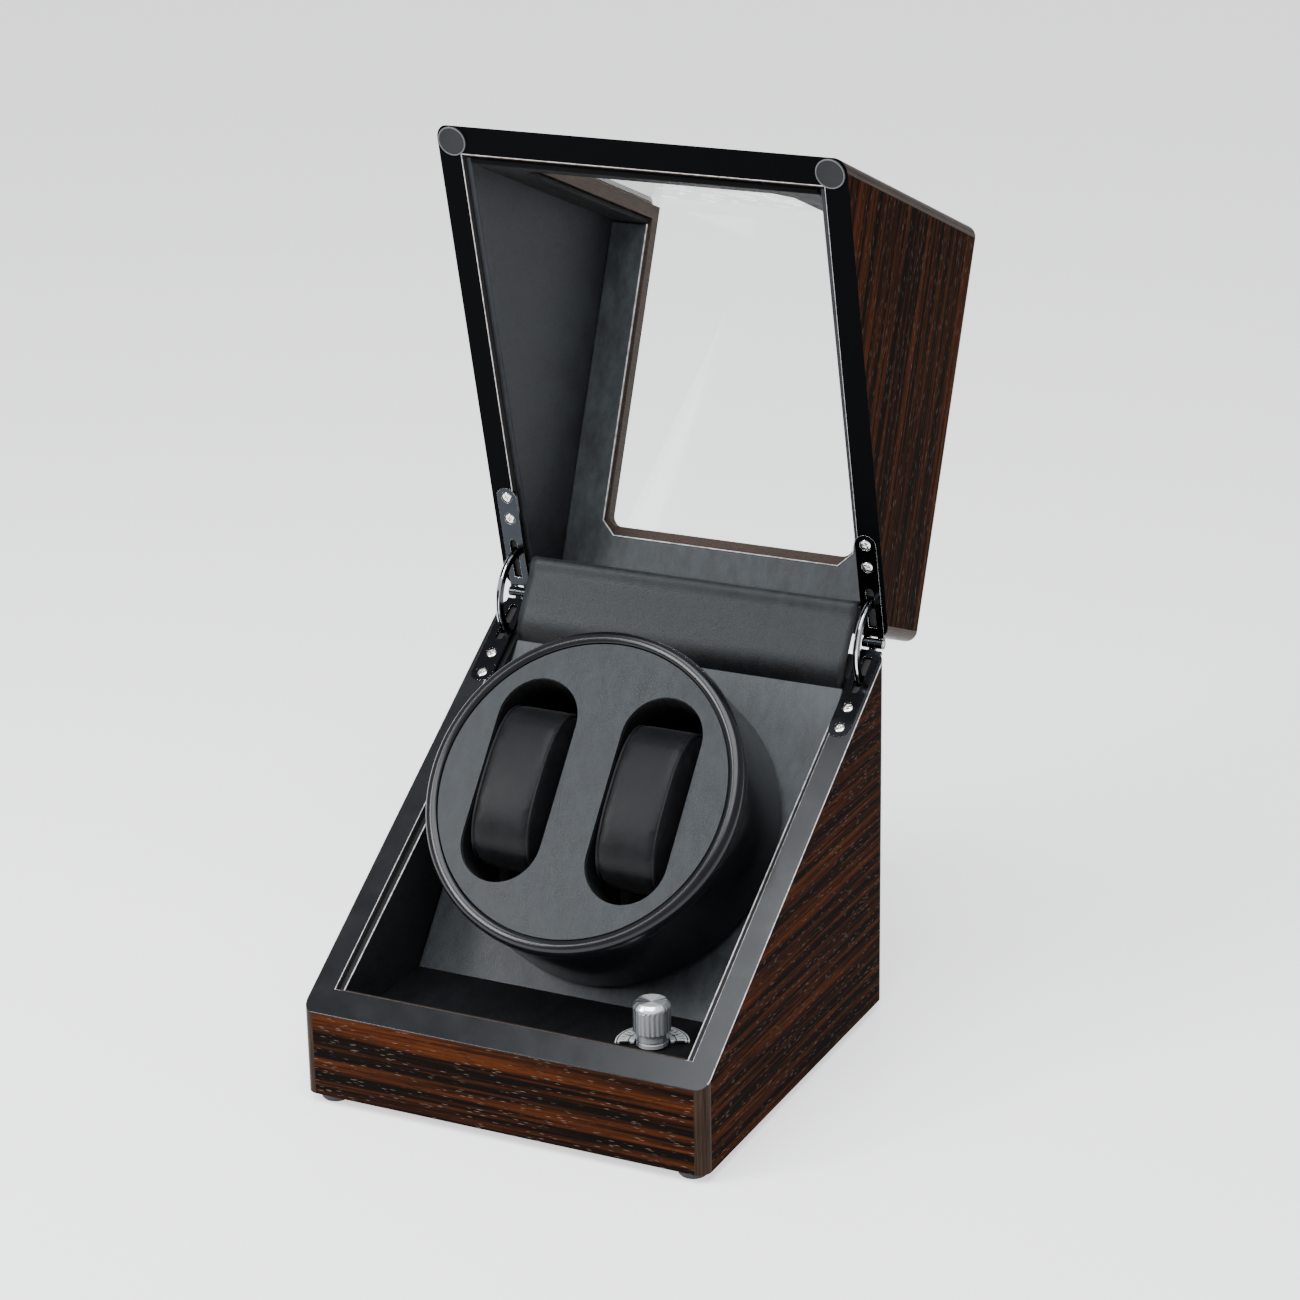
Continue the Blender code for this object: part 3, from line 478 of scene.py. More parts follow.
def leather_material(name, colour, grain=0.8, depth=0.06, roughness=0.5, shine=0.3, painted_shade_span=None):
    """Fine grained leather: pebbled and creased, cloudy; the last argument, when given, is the span of
    heights over which painted shade darkens it downwards.
    """
    n = Nodes(name, Specular_IOR_Level=shine, Sheen_Weight=0.04, Sheen_Roughness=0.4)
    where = n.place()
    wobble = n.noise(where, PER_MM / (grain * 2.4), 3.0)
    cells = n.cells(where, PER_MM / grain, "F1")
    creases = n.cells(where, PER_MM / grain, "DISTANCE_TO_EDGE")
    cloud = n.noise(n.place((1, 0.45, 0.45)), PER_MM / 6.0, 6.0, 0.68)
    fine = n.noise(where, PER_MM / 0.28, 2.0)
    lighter = shade(colour, 1.45)
    darker = shade(colour, 0.62)
    tone = n.ramp(cloud, (0.32, darker), (0.5, colour), (0.7, lighter))
    crease = n.fit(creases, 0.0, 0.12)
    # Painted shade: the grain's creases are darkened.
    tone = n.mix(n.times(n.math("SUBTRACT", 1.0, crease), 0.35), tone, darker)
    # Painted shade: the colour darkens downwards below this span, as under the strip's roll.
    if painted_shade_span:
        height = n.add("ShaderNodeSeparateXYZ", {"Vector": where}).outputs["Z"]
        tone = n.mix(n.fit(height, *painted_shade_span, 0.88, 0.0), tone, shade(colour, 0.1))
    n.out("Base Color", tone)
    n.out("Roughness", n.fit(n.plus(cloud, n.times(cells, 0.3)), 0.4, 0.9,
                             roughness - 0.07, roughness + 0.09))
    height = n.plus(n.times(crease, 0.8), n.times(wobble, 0.7))
    height = n.plus(height, n.times(fine, 0.25))
    n.relief(height, depth, 0.7)
    return n.material


def black_shell_material(name, colour, roughness):
    """Moulded black plastic with a soft satin surface."""
    n = Nodes(name, Specular_IOR_Level=0.3)
    cloud = n.noise(n.place(), PER_MM / 20.0, 3.0)
    texture = n.noise(n.place(), PER_MM / 0.35, 2.0)
    n.tint(cloud, shade(colour, 0.85), colour, roughness - 0.04, roughness + 0.05)
    n.relief(texture, 0.012, 0.3)
    return n.material


def metal_material(name, colour, roughness, brushed=(1, 1, 1), depth=0.006, metallic=1.0, smudge=0.05):
    """Metal with a directional polish, faint smudges and fine scratches."""
    n = Nodes(name, Metallic=metallic)
    strokes = n.noise(n.place(brushed), PER_MM / 0.25, 3.0)
    cloud = n.noise(n.place(), PER_MM / 6.0, 4.0)
    n.out("Base Color", n.ramp(cloud, (0.3, shade(colour, 0.9)), (0.7, colour)))
    n.out("Roughness", n.fit(n.plus(cloud, n.times(strokes, 0.4)), 0.4, 1.0,
                             roughness, roughness + smudge))
    n.relief(strokes, depth, 0.5)
    return n.material


def spun_material():
    """Turned aluminium of the knob, its reflections painted into the colour: painted streaks that run out
    from its axis and two painted highlight wedges, front right and rear left.
    """
    n = Nodes("spun_aluminium", Metallic=0.66, Roughness=0.20)
    flat = n.add("ShaderNodeVectorMath", {0: n.place((1, 1, 0))}, operation="NORMALIZE")
    flat = flat.outputs["Vector"]
    # Painted highlight: brightest towards front right and towards rear left.
    facing = n.add("ShaderNodeVectorMath", {0: flat, 1: (0.42, -0.91, 0.0)}, operation="DOT_PRODUCT")
    painted_highlight_wedge = n.math("POWER", n.math("ABSOLUTE", facing.outputs["Value"]), 5.0)
    # Painted reflection: angular noise gives light and dark bands, standing for the flutes mirroring their
    # surroundings.
    painted_reflection_streak = n.noise(flat, 5.5, 3.0, 0.7)
    hair = n.noise(flat, 60.0, 2.0, 0.6)
    level = n.plus(n.times(painted_highlight_wedge, 0.42), n.times(painted_reflection_streak, 0.62))
    level = n.plus(level, n.times(hair, 0.14))
    n.out("Base Color", n.ramp(level, (0.32, (0.08, 0.09, 0.10)), (0.42, (0.50, 0.53, 0.56)),
                               (0.55, (0.97, 0.985, 1.0))))
    n.relief(hair, 0.01, 0.4)
    return n.material


def cut_wood_material():
    """Sanded, thinly stained edge of the board around the window."""
    n = Nodes("cut_wood", Specular_IOR_Level=0.12)
    grain = n.noise(n.place((1, 1, 0.1)), PER_MM / 0.8, 4.0, 0.65)
    n.tint(grain, (0.030, 0.020, 0.015), (0.072, 0.050, 0.039), 0.5, 0.62)
    n.relief(grain, 0.03, 0.4)
    return n.material


def fibreboard_material():
    n = Nodes("fibreboard", Specular_IOR_Level=0.2)
    fibres = n.noise(n.place(), PER_MM / 0.5, 6.0, 0.7)
    n.tint(fibres, (0.012, 0.011, 0.011), (0.035, 0.033, 0.032), 0.75, 0.9)
    n.relief(fibres, 0.08, 0.5)
    return n.material


def rubber_material(name, colour, roughness=0.7, grain=0.4):
    n = Nodes(name, Specular_IOR_Level=0.35)
    speck = n.noise(n.place(), PER_MM / grain, 3.0, 0.6)
    n.tint(speck, shade(colour, 0.7), colour, roughness - 0.08, roughness + 0.08)
    n.relief(speck, 0.05, 0.4)
    return n.material


def acrylic_material():
    """Clear sheet with a slight grey cast and a few faint wipe marks.

    The body hardly bends light, so the view through both faces stays straight; the coat mirrors.
    """
    n = Nodes("clear_acrylic", Transmission_Weight=1.0, IOR=1.02, Alpha=0.30, Coat_Weight=0.7,
              Coat_IOR=1.5, Coat_Roughness=0.01)
    n.out("Base Color", (0.93, 0.95, 0.955, 1.0))
    wipes = n.noise(n.place((1, 0.12, 1), turn_by=(0, 0, 0.5)), PER_MM / 9.0, 4.0)
    n.out("Roughness", n.fit(wipes, 0.55, 0.8, 0.0, 0.03))
    return n.material


def board_material():
    """Green circuit board with a hint of its tracks."""
    n = Nodes("circuit_board")
    tracks = n.cells(n.place(), PER_MM / 3.0, "DISTANCE_TO_EDGE")
    line = n.fit(tracks, 0.04, 0.07)
    n.out("Base Color", n.mix(line, (0.02, 0.19, 0.08), (0.008, 0.085, 0.035)))
    n.out("Roughness", n.fit(tracks, 0.0, 0.3, 0.35, 0.5))
    return n.material


def scale_material():
    """Silver plate, its dial engraved about the knob's axis: two arcs and a fan of ticks."""
    n = Nodes("engraved_scale", Metallic=0.5)
    where = n.add("ShaderNodeSeparateXYZ", {"Vector": n.place()})
    x, y = where.outputs["X"], where.outputs["Y"]
    radius = n.times(n.math("SQRT", n.plus(n.times(x, x),
                                                      n.times(y, y))), PER_MM)
    angle = n.math("ARCTAN2", y, x)

    def band(value, centre, half):
        return n.fit(n.math("ABSOLUTE", n.math("SUBTRACT", value, centre)), half * 0.6, half, 1.0, 0.0)

    fan = n.math("FRACT", n.plus(n.times(angle, 18 / math.pi), 0.5))
    ticks = n.times(band(fan, 0.5, 0.16), band(radius, 12.1, 1.3))
    wide = n.math("FRACT", n.plus(n.times(angle, 6 / math.pi), 0.5))
    spokes = n.times(band(wide, 0.5, 0.09), band(radius, 10.2, 1.9))
    arcs = n.math("MAXIMUM", band(radius, 14.1, 0.28), band(radius, 9.6, 0.28))
    marks = n.math("MAXIMUM", n.math("MAXIMUM", ticks, spokes), arcs)
    cloud = n.noise(n.place(), PER_MM / 1.5, 3.0)
    n.out("Base Color", n.mix(marks, n.ramp(cloud, (0.3, (0.62, 0.64, 0.64)), (0.7, (0.80, 0.82, 0.82))),
                              (0.02, 0.02, 0.02)))
    n.out("Roughness", n.fit(cloud, 0.3, 0.7, 0.38, 0.5))
    n.relief(n.math("SUBTRACT", 1.0, marks), 0.15, 0.8)
    return n.material


def make_materials():
    ebony = (0.0024, 0.0011, 0.0006)
    leathers = {
        # base, lid and dark are darker copies of the panel's leather: painted shade on the base's deep
        # linings, the lid's side walls and the lid's front lining, which faces down when open
        "base": dict(colour=(0.008, 0.0085, 0.0095), shine=0.15),
        "ledge": dict(colour=(0.004, 0.004, 0.005), shine=0.08),
        "lid": dict(colour=(0.019, 0.0212, 0.025), shine=0.15),
        "dark": dict(colour=(0.0018, 0.0018, 0.0022), shine=0.03),
        "panel": dict(colour=(0.036, 0.041, 0.0455), roughness=0.42, shine=0.34),
        # the strip's lower edge gets painted shade, where it tucks under the rim
        "strip": dict(colour=(0.0142, 0.0166, 0.0187), roughness=0.40, shine=0.22,
                      painted_shade_span=(0.1475, 0.1545)),
        "frame": dict(colour=(0.038, 0.043, 0.047), roughness=0.5, shine=0.3),
        "face": dict(colour=(0.018, 0.021, 0.024), grain=0.7, roughness=0.38, shine=0.24),
        "pillow": dict(colour=(0.004, 0.004, 0.005), grain=0.6, depth=0.04, roughness=0.36, shine=0.14),
    }
    found = {f"{name}_leather": leather_material(f"{name}_leather", **kind)
             for name, kind in leathers.items()}
    found.update({
        "veneer_front": veneer_material("veneer_front", ebony, (0.068, 0.0165, 0.0036), 6.0, 0.37, 0.025),
        "veneer_side": veneer_material("veneer_side", ebony, (0.060, 0.0145, 0.0032), 3.6, 1.91, 0.003),
        "edge_band": edge_band_material(),
        "base_lacquer": lacquer_material("base_rim_lacquer", (0.003, 0.0036, 0.0052), 0.22, 0.36),
        # the lid's rim lacquer is a darker, duller copy of the base's: painted shade on rims that face down
        # and forward when open
        "lid_lacquer": lacquer_material("lid_rim_lacquer", (0.0015, 0.0016, 0.002), 0.34, 0.012),
        "painted_edge_highlight": painted_edge_highlight_material(),
        "cut_wood": cut_wood_material(),
        "fibreboard": fibreboard_material(),
        "drum": black_shell_material("drum_plastic", (0.005, 0.0056, 0.0068), 0.20),
        "well": black_shell_material("well_plastic", (0.008, 0.008, 0.009), 0.6),
        "moulded": black_shell_material("moulded_plastic", (0.015, 0.015, 0.016), 0.45),
        "chrome": metal_material("polished_chrome", (0.78, 0.79, 0.81), 0.07, (1, 0.06, 1)),
        "dark_chrome": metal_material("dark_chrome", (0.022, 0.024, 0.028), 0.12, (1, 0.06, 1)),
        "screw": metal_material("nickel_screw", (0.78, 0.76, 0.72), 0.16, depth=0.01),
        "spun": spun_material(),
        "steel": metal_material("plain_steel", (0.42, 0.42, 0.44), 0.32, (1, 0.1, 1), 0.01),
        "brass": metal_material("turned_brass", (0.62, 0.45, 0.17), 0.25, (1, 1, 0.05), 0.01),
        "rubber": rubber_material("black_rubber", (0.022, 0.022, 0.024)),
        "pad": rubber_material("grey_felt", (0.011, 0.0118, 0.013), 0.85, 0.6),
        "pad_ring": rubber_material("pad_ring", (0.10, 0.105, 0.11), 0.6, 0.6),
        "acrylic": acrylic_material(),
        "board": board_material(),
        "scale": scale_material(),
    })
    return found


# ---- case --------------------------------------------------------------------------------
FRONT, SIDE, BAND, LACQUER, INSIDE, CUT, EDGE = range(7)     # places in a case's materials


def leaf_outline(centre, length, grow=0.0):
    half = LEAF_HALF + grow
    return ([(centre - half, -3.2 + 6 * grow), (centre - half, -length + LEAF_HALF)]
            + arc((centre, -length + LEAF_HALF), half, 180, 360, 20)
            + [(centre + half, -3.2 + 6 * grow)])


def leaf_face(up):
    """Height of a leaf's face over the joint, 0.1 mm inside its rim; up is +1 on the lid."""
    return up * 0.1 + (RIM_RISE if up > 0 else -RIM_DROP)


def sector(inner, outer, start, stop, steps=40):
    """Ring sector in the hinge's Y, Z plane, its angles counted up from the rim's front."""
    return (arc((0, 0), outer, 180 - start, 180 - stop, steps)
            + arc((0, 0), inner, 180 - stop, 180 - start, steps))


def hinge_recesses(rim, up, length, start, stop):
    """Cutters for the leaf's recess and the stay's mortise on both sides; up is +1 on the lid."""
    tools = []
    level = leaf_face(up)
    for _, sign in sides():
        centre = sign * HINGE_X
        low, high = sorted((level + up * (LEAF_THICKNESS + 0.05), level - up * 4))
        tools.append(prism("recess", [leaf_outline(centre, length, 0.15)], "Z", low, high, rim))
        tools.append(prism("mortise", [sector(15.5, 21.5, start, stop)], "X", centre - 1.6, centre + 1.6,
                           rim))
    return tools


def window_cutters():
    far = HALF_Y + 5
    lap = WINDOW_HALF + PANE_LAP
    deep = PANE_THICKNESS + 0.45

    def rounded(half, near, end, radius):
        way = 1 if end > near else -1
        right = arc((half - radius, end - way * radius), radius, 0, 90 * way, 12)
        left = arc((radius - half, end - way * radius), radius, 90 * way, 180 * way, 12)
        return [(-half, near), (half, near), *right, *left]

    return [
        prism("cut", [rounded(WINDOW_HALF, -far, WINDOW_REAR, 5.0)], "Z", HEIGHT - 14, HEIGHT + 6),
        prism("cut", [rounded(WINDOW_HALF, HEIGHT + 6, WINDOW_SILL, 5.0)], "Y", -far, 2 - INNER_Y),
        prism("cut", [rounded(lap, -far, WINDOW_REAR + PANE_LAP, 6.0)], "Z", HEIGHT - deep, HEIGHT + 6),
        prism("cut", [rounded(lap, HEIGHT + 6, WINDOW_SILL - PANE_LAP, 6.0)], "Y", -far, deep - HALF_Y),
    ]


def rounded_box(is_lid):
    bm = bmesh.new()
    bmesh.ops.create_cube(bm, size=1.0)
    low = Vector((-HALF_X, -HALF_Y, 0.0)) * MM
    size = Vector((2 * HALF_X, 2 * HALF_Y, HEIGHT)) * MM
    for vert in bm.verts:
        vert.co = low + Vector(((vert.co.x + 0.5) * size.x, (vert.co.y + 0.5) * size.y,
                                (vert.co.z + 0.5) * size.z))

    def upright(edge):
        return abs(edge.verts[0].co.z - edge.verts[1].co.z) > 0.1

    def at_top(edge):
        return min(v.co.z for v in edge.verts) > (HEIGHT - 1) * MM

    chosen = [e for e in bm.edges if upright(e) or (is_lid and at_top(e))]
    bmesh.ops.bevel(bm, geom=chosen, offset=EDGE_RADIUS * MM, offset_type="OFFSET", segments=8,
                    profile=0.5, affect="EDGES")
    return new_object("case", bm)


def joint_side(is_lid):
    """A slab that covers everything on the far side of the slanted joint."""
    low, high = (-250, RIM_RISE) if is_lid else (-RIM_DROP, 250)
    return block("joint_side", (-120, -300, low), (120, 60, high), BASE_RIM)


def rear_rebate(is_lid):
    """Room for the leather strip on the rear rim."""
    near = INNER_Y - 1
    far = HALF_Y + 3
    deep = REAR_RIM_DROP if is_lid else -REAR_RIM_DROP
    outline = [(near, split(near, deep)), (far, split(far, deep)), (far, split(far, -deep)),
               (near, split(near, -deep))]
    return prism("rebate", [outline], "X", GAP - INNER_X, INNER_X - GAP)


def on_outside(point, is_lid):
    """True where a point, in millimetres, is on the case's rounded outer surface."""
    reach = Vector((HALF_X, HALF_Y, HEIGHT / 2)) - Vector((1, 1, 1)) * EDGE_RADIUS
    away = Vector((max(abs(point.x) - reach.x, 0), max(abs(point.y) - reach.y, 0),
                   max(point.z - HEIGHT / 2 - reach.z, 0) if is_lid else 0))
    return abs(away.length - EDGE_RADIUS) < 0.05


def map_grain(mesh):
    """Grain map: u along the grain and v across it, in metres; a rounding's grain follows its edge."""
    layer = mesh.uv_layers.new(name="grain")
    for polygon in mesh.polygons:
        rounding = max(abs(c) for c in polygon.normal) < 0.999
        sideways = abs(polygon.normal.x) > 0.7
        level = abs(polygon.normal.z) > 0.7
        for loop in polygon.loop_indices:
            point = mesh.vertices[mesh.loops[loop].vertex_index].co
            if rounding and abs(polygon.normal.z) < 0.05:
                along, across = point.z, point.x + point.y
            elif rounding and abs(polygon.normal.y) < 0.05:
                along, across = point.y, point.x + point.z
            elif sideways:
                along, across = point.y, point.z + 0.4
            elif level:
                along, across = point.x, point.y
            else:
                along, across = point.x, point.z
            layer.data[loop].uv = (along, across)


def takes_painted_highlight(face, is_lid):
    """True on the rounded arrises round the opening, and along the flanks of the base: these get the painted
    highlight.
    """
    x, y = (abs(c) / MM for c in face.calc_center_median().xy)
    round_opening = abs(x - INNER_X) < 0.5 or (x < INNER_X and abs(y - INNER_Y) < 0.5)
    return round_opening or (not is_lid and x > HALF_X - 0.5)


def cut_case(is_lid):
    """The rounded box of one half, hollow and cut along the joint, with its openings."""
    case = rounded_box(is_lid)
    ceiling = CEILING if is_lid else HEIGHT + 10
    tools = [block("cavity", (-INNER_X, -INNER_Y, -10), (INNER_X, INNER_Y, ceiling)),
             joint_side(is_lid), rear_rebate(is_lid)]
    if is_lid:
        tools += window_cutters() + hinge_recesses(BASE_RIM, 1, LID_LEAF_TO, -12, 82)
    else:
        tools += hinge_recesses(BASE_RIM, -1, BASE_LEAF_TO, -43, 12)
        tools.append(prism("socket", [circle((-55, 22), 4.3)], "Y", INNER_Y - 2, HALF_Y + 2))
    combine(case, tools)
    return case


def face_finish(face, is_lid):
    """Index in the case's materials of the finish that a face has."""
    points = [v.co / MM for v in face.verts]
    rise = (face.calc_center_median() / MM - Vector((0, PIN_Y, PIN_Z))).dot(RIM_NORMAL)
    rim_rise = RIM_RISE if is_lid else -RIM_DROP
    flat = max(abs(c) for c in face.normal) > 0.999
    if all(on_outside(p, is_lid) for p in points):
        if not flat:
            return BAND
        return SIDE if abs(face.normal.x) > 0.9 else FRONT
    if abs(face.normal.dot(RIM_NORMAL)) > 0.999 and abs(rise - rim_rise) < 0.1:
        return LACQUER
    in_window = max(abs(p.x) for p in points) < WINDOW_HALF + PANE_LAP + 0.1
    if is_lid and (in_window or (flat and abs(face.normal.x) < 0.1)):
        return CUT
    return INSIDE


def make_case(name, is_lid):
    """The veneered case of one half as one glued-up shell, in shut coordinates."""
    case = cut_case(is_lid)
    bm = bmesh.new()
    bm.from_mesh(case.data)
    bmesh.ops.remove_doubles(bm, verts=bm.verts, dist=0.000005)
    bmesh.ops.dissolve_limit(bm, angle_limit=math.radians(0.3), verts=bm.verts, edges=bm.edges)
    bm.normal_update()
    for face in bm.faces:
        face.material_index = face_finish(face, is_lid)
    rim_edges = [e for e in bm.edges
                 if len(e.link_faces) == 2 and e.calc_face_angle(0) > math.radians(30)
                 and any(f.material_index == LACQUER for f in e.link_faces)]
    bmesh.ops.bevel(bm, geom=rim_edges, offset=0.4 * MM, offset_type="OFFSET", segments=3, profile=0.5,
                    affect="EDGES", material=LACQUER, clamp_overlap=True)
    bm.normal_update()
    for face in bm.faces:
        slanted = abs(face.normal.dot(RIM_NORMAL)) < 0.995
        # the arrises round the opening and along the base's flanks wear the painted edge highlight
        if face.material_index == LACQUER and slanted and takes_painted_highlight(face, is_lid):
            face.material_index = EDGE
        face.smooth = True
    for edge in bm.edges:
        edge.smooth = edge.calc_face_angle(0) < math.radians(32)
    half = "lid" if is_lid else "base"
    dress(case, "veneer_front", "veneer_side", "edge_band", f"{half}_lacquer", "fibreboard", "cut_wood",
          "painted_edge_highlight")
    bm.to_mesh(case.data)
    bm.free()
    map_grain(case.data)
    case.name = name
    case.matrix_world = LID if is_lid else HERE
    even_shading(case)
    panels = [f"{half}_{side}_panel" for side in ("front", "rear", "left", "right")]
    if is_lid:
        panels.append("lid_top_panel")
    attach(case, half)
    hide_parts(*panels)


# ---- linings -----------------------------------------------------------------------------
def make_linings():
    reach = INNER_Y - GAP
    drop = RIM_DROP + LINER_DROP
    for side, sign in sides():
        low, high = sorted((sign * LINED_X, sign * (INNER_X - 0.2)))
        outline = [(-reach, BOTTOM + 0.4), (reach, BOTTOM + 0.4), (reach, split(reach, -drop - 1.5)),
                   (-reach, split(-reach, -drop))]
        wall = round_edges(prism(f"base_{side}_lining", [outline], "X", low, high), 0.35, 3)
        # painted shade: the base's side walls wear the darker base copy of the leather
        place_piece(wall, ["base_leather"], "base", f"base_{side}_liner")
        # the bead's light grey is a painted highlight along the lining's top edge
        x = sign * (LINED_X + 0.1)
        ends = [(x, 0.5 - reach, split(0.5 - reach, -drop)),
                (x, reach - 18, split(reach - 18, -drop - 1.35))]
        bead = tube(f"base_{side}_bead", ends, 0.28)
        place_piece(bead, ["painted_edge_highlight"], "base", f"base_{side}_liner", stands_for=False)
        rise = RIM_RISE + LINER_DROP
        outline = [(-reach, split(-reach, rise)), (reach, split(reach, rise + 1.5)),
                   (reach, CEILING - GAP), (-reach, CEILING - GAP)]
        wall = round_edges(prism(f"lid_{side}_lining", [outline], "X", low, high, LID), 0.6, 3)
        # painted shade: the lid's side walls wear the darker lid copy of the leather
        place_piece(wall, ["lid_leather"], "lid", f"lid_{side}_liner")

    top = split(-LINED_Y, -RIM_DROP - 2.4)
    outline = [(-reach, BOTTOM + 0.4), (-LINED_Y, BOTTOM + 0.4), (-LINED_Y, top), (-reach, top)]
    front = round_edges(prism("base_front_lining", [outline], "X", GAP - LINED_X, LINED_X - GAP), 0.3, 3)
    # painted shade: the base's front lining wears the darker base copy too
    place_piece(front, ["base_leather"], "base", "base_front_liner")
    ends = [(way * (INNER_X - 2.8), -INNER_Y - 0.05, split(-INNER_Y, -RIM_DROP) - 0.05)
            for way in (-1, 1)]
    bead = tube("base_front_bead", ends, 0.22)
    place_piece(bead, ["cut_wood"], "base", "base_front_liner", stands_for=False)


def framed(half_out, near, far, half_in, border, snip):
    """A frame round the window, open at near, with snipped inner corners."""
    way = 1 if far > near else -1
    return [(half_out, near), (half_out, far), (-half_out, far), (-half_out, near), (-half_in, near),
            (-half_in, border - way * snip), (snip - half_in, border), (half_in - snip, border),
            (half_in, border - way * snip), (half_in, near)]


def make_window_linings():
    half = 59.3
    snip = 6.0
    upper = CEILING - GAP
    lower = upper - LINER
    outline = framed(LINED_X - GAP, GAP - LINED_Y, INNER_Y - GAP, half, 61.3, snip)
    top = round_edges(prism("lid_top_lining", [outline], "Z", lower, upper, LID), 0.9, 4)
    place_piece(top, ["frame_leather"], "lid", "lid_top_liner")
    # the bead's light grey is a painted highlight round the window lining's edge
    rim = [(x, y, lower + 0.1) for x, y in outline[4:]]
    bead = tube("lid_top_bead", rim, 0.3, LID)
    place_piece(bead, ["painted_edge_highlight"], "lid", "lid_top_liner", stands_for=False)
    outline = framed(LINED_X - GAP, upper, split(-LINED_Y, 1.2), half, 57.5, snip)
    front = round_edges(prism("lid_front_lining", [outline], "Y", GAP - INNER_Y, -LINED_Y, LID), 0.9, 4)
    # the lid's front lining wears the near-black copy: painted shade where it faces down
    place_piece(front, ["dark_leather"], "lid", "lid_front_liner")


def under_face(z, depth):
    """y of a line parallel to the turntable's face, depth below it, at height z."""
    tilt = math.radians(TILT)
    return (FACE_CENTRE.y + depth * math.sin(tilt)
            + (z - FACE_CENTRE.z + depth * math.cos(tilt)) / math.tan(tilt))


def height_under_face(y, depth):
    tilt = math.radians(TILT)
    return (FACE_CENTRE.z - depth * math.cos(tilt)
            + (y - FACE_CENTRE.y - depth * math.sin(tilt)) * math.tan(tilt))


def make_inner_boards():
    thick = 5.8
    foot = LEDGE_TOP - 4.9
    end = LINED_Y - 0.1
    half = LINED_X - GAP
    under = PANEL_DEPTH + thick
    outline = [(under_face(foot, PANEL_DEPTH), foot), (under_face(foot, under), foot),
               (end, height_under_face(end, under)), (end, height_under_face(end, PANEL_DEPTH))]
    panel = prism("slanted_board", [outline], "X", -half, half)
    hole = prism("hole", [circle((0, 0), 5.3)], "Z", -PANEL_DEPTH - 8, -PANEL_DEPTH + 2, TURNTABLE)
    combine(panel, [hole])
    round_edges(panel, 0.8, 3)
    place_piece(panel, ["panel_leather"], "base", "slanted_panel")

    rear_low = under_face(foot, PANEL_DEPTH) - 0.2
    rear_high = under_face(LEDGE_TOP, PANEL_DEPTH) - 0.2
    near = GAP - LINED_Y
    outline = [(near, foot), (rear_low, foot), (rear_high, LEDGE_TOP), (near, LEDGE_TOP)]
    ledge = prism("ledge_board", [outline], "X", -half, half)
    combine(ledge, [prism("hole", [circle(KNOB_AT.xy, 4.6)], "Z", foot - 2, LEDGE_TOP + 2)])
    round_edges(ledge, 0.6, 3)
    place_piece(ledge, ["ledge_leather"], "base", "control_ledge")


# ---- hinge strip -------------------------------------------------------------------------
def smooth_path(points, steps=8):
    """Catmull-Rom curve through points."""
    ends = [2 * points[0] - points[1], *points, 2 * points[-1] - points[-2]]
    path = []
    for a, b, c, d in zip(ends, ends[1:], ends[2:], ends[3:]):
        for i in range(steps):
            t = i / steps
            path.append(0.5 * (2 * b + (c - a) * t + (2 * a - 5 * b + 4 * c - d) * t * t
                               + (3 * b - a - 3 * c + d) * t ** 3))
    path.append(points[-1].copy())
    return path


def make_hinge_strip():
    """One leather strip from the base's rear wall, over the hinge line, into the lid."""
    half = LINED_X - 0.5
    thickness = 1.1
    into_lid = (LID.to_3x3() @ Vector((0, 0, 1))).normalized()
    inner = LID @ (Vector((0, LINED_Y + 0.6, split(LINED_Y, 4.0))) * MM) / MM
    start = Vector((0, LINED_Y + 0.5, split(LINED_Y, -13.0)))
    leave = Vector((0, LINED_Y + 0.4, split(LINED_Y, -1.0)))
    points = [start, start.lerp(leave, 0.5), leave, leave.lerp(inner, 0.22) + Vector((0, -1.6, 0.0)),
              leave.lerp(inner, 0.5) + Vector((0, -1.0, 0.0)), leave.lerp(inner, 0.8), inner,
              inner + into_lid * 9, inner + into_lid * 24]
    path = smooth_path(points, 7)
    columns = 48
    bm = bmesh.new()
    rows = []
    for point in path:
        row = [bm.verts.new((half * (2 * i / columns - 1) * MM, point.y * MM, point.z * MM))
               for i in range(columns + 1)]
        rows.append(row)
    for here, after in zip(rows, rows[1:]):
        for i in range(columns):
            bm.faces.new((here[i], here[i + 1], after[i + 1], after[i]))
    strip = new_object("hinge_strip", bm)
    solidify = strip.modifiers.new("thickness", "SOLIDIFY")
    solidify.thickness = thickness * MM
    solidify.offset = 0.0
    keep(strip)
    dress(strip, "strip_leather")
    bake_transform(strip)
    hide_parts("base_rear_liner", "lid_rear_liner")


# ---- window ------------------------------------------------------------------------------
def make_pane():
    half = WINDOW_HALF + PANE_LAP - GAP
    rear = WINDOW_REAR + PANE_LAP - GAP
    sill = WINDOW_SILL - PANE_LAP + GAP
    bend = (EDGE_RADIUS - HALF_Y, HEIGHT - EDGE_RADIUS)
    outline = ([(PANE_THICKNESS - HALF_Y, sill), (-HALF_Y, sill)] + arc(bend, EDGE_RADIUS, 180, 90, 12)
               + [(rear, HEIGHT), (rear, HEIGHT - PANE_THICKNESS)]
               + arc(bend, EDGE_RADIUS - PANE_THICKNESS, 90, 180, 12))
    bm = prism_mesh([outline], "X", -half, half)

    def corner(edge):
        first, last = (v.co / MM for v in edge.verts)
        short = (first - last).length < PANE_THICKNESS + 0.1 and abs(first.x - last.x) < 0.01
        return short and (min(first.y, last.y) > rear - 0.1 or max(first.z, last.z) < sill + 0.1)

    bmesh.ops.bevel(bm, geom=[e for e in bm.edges if corner(e)], offset=6.4 * MM, offset_type="OFFSET",
                    segments=10, profile=0.5, affect="EDGES")
    pane = round_edges(new_object("window_sheet", bm, LID), 0.3, 2)
    place_piece(pane, ["acrylic"], "lid", "window_pane")


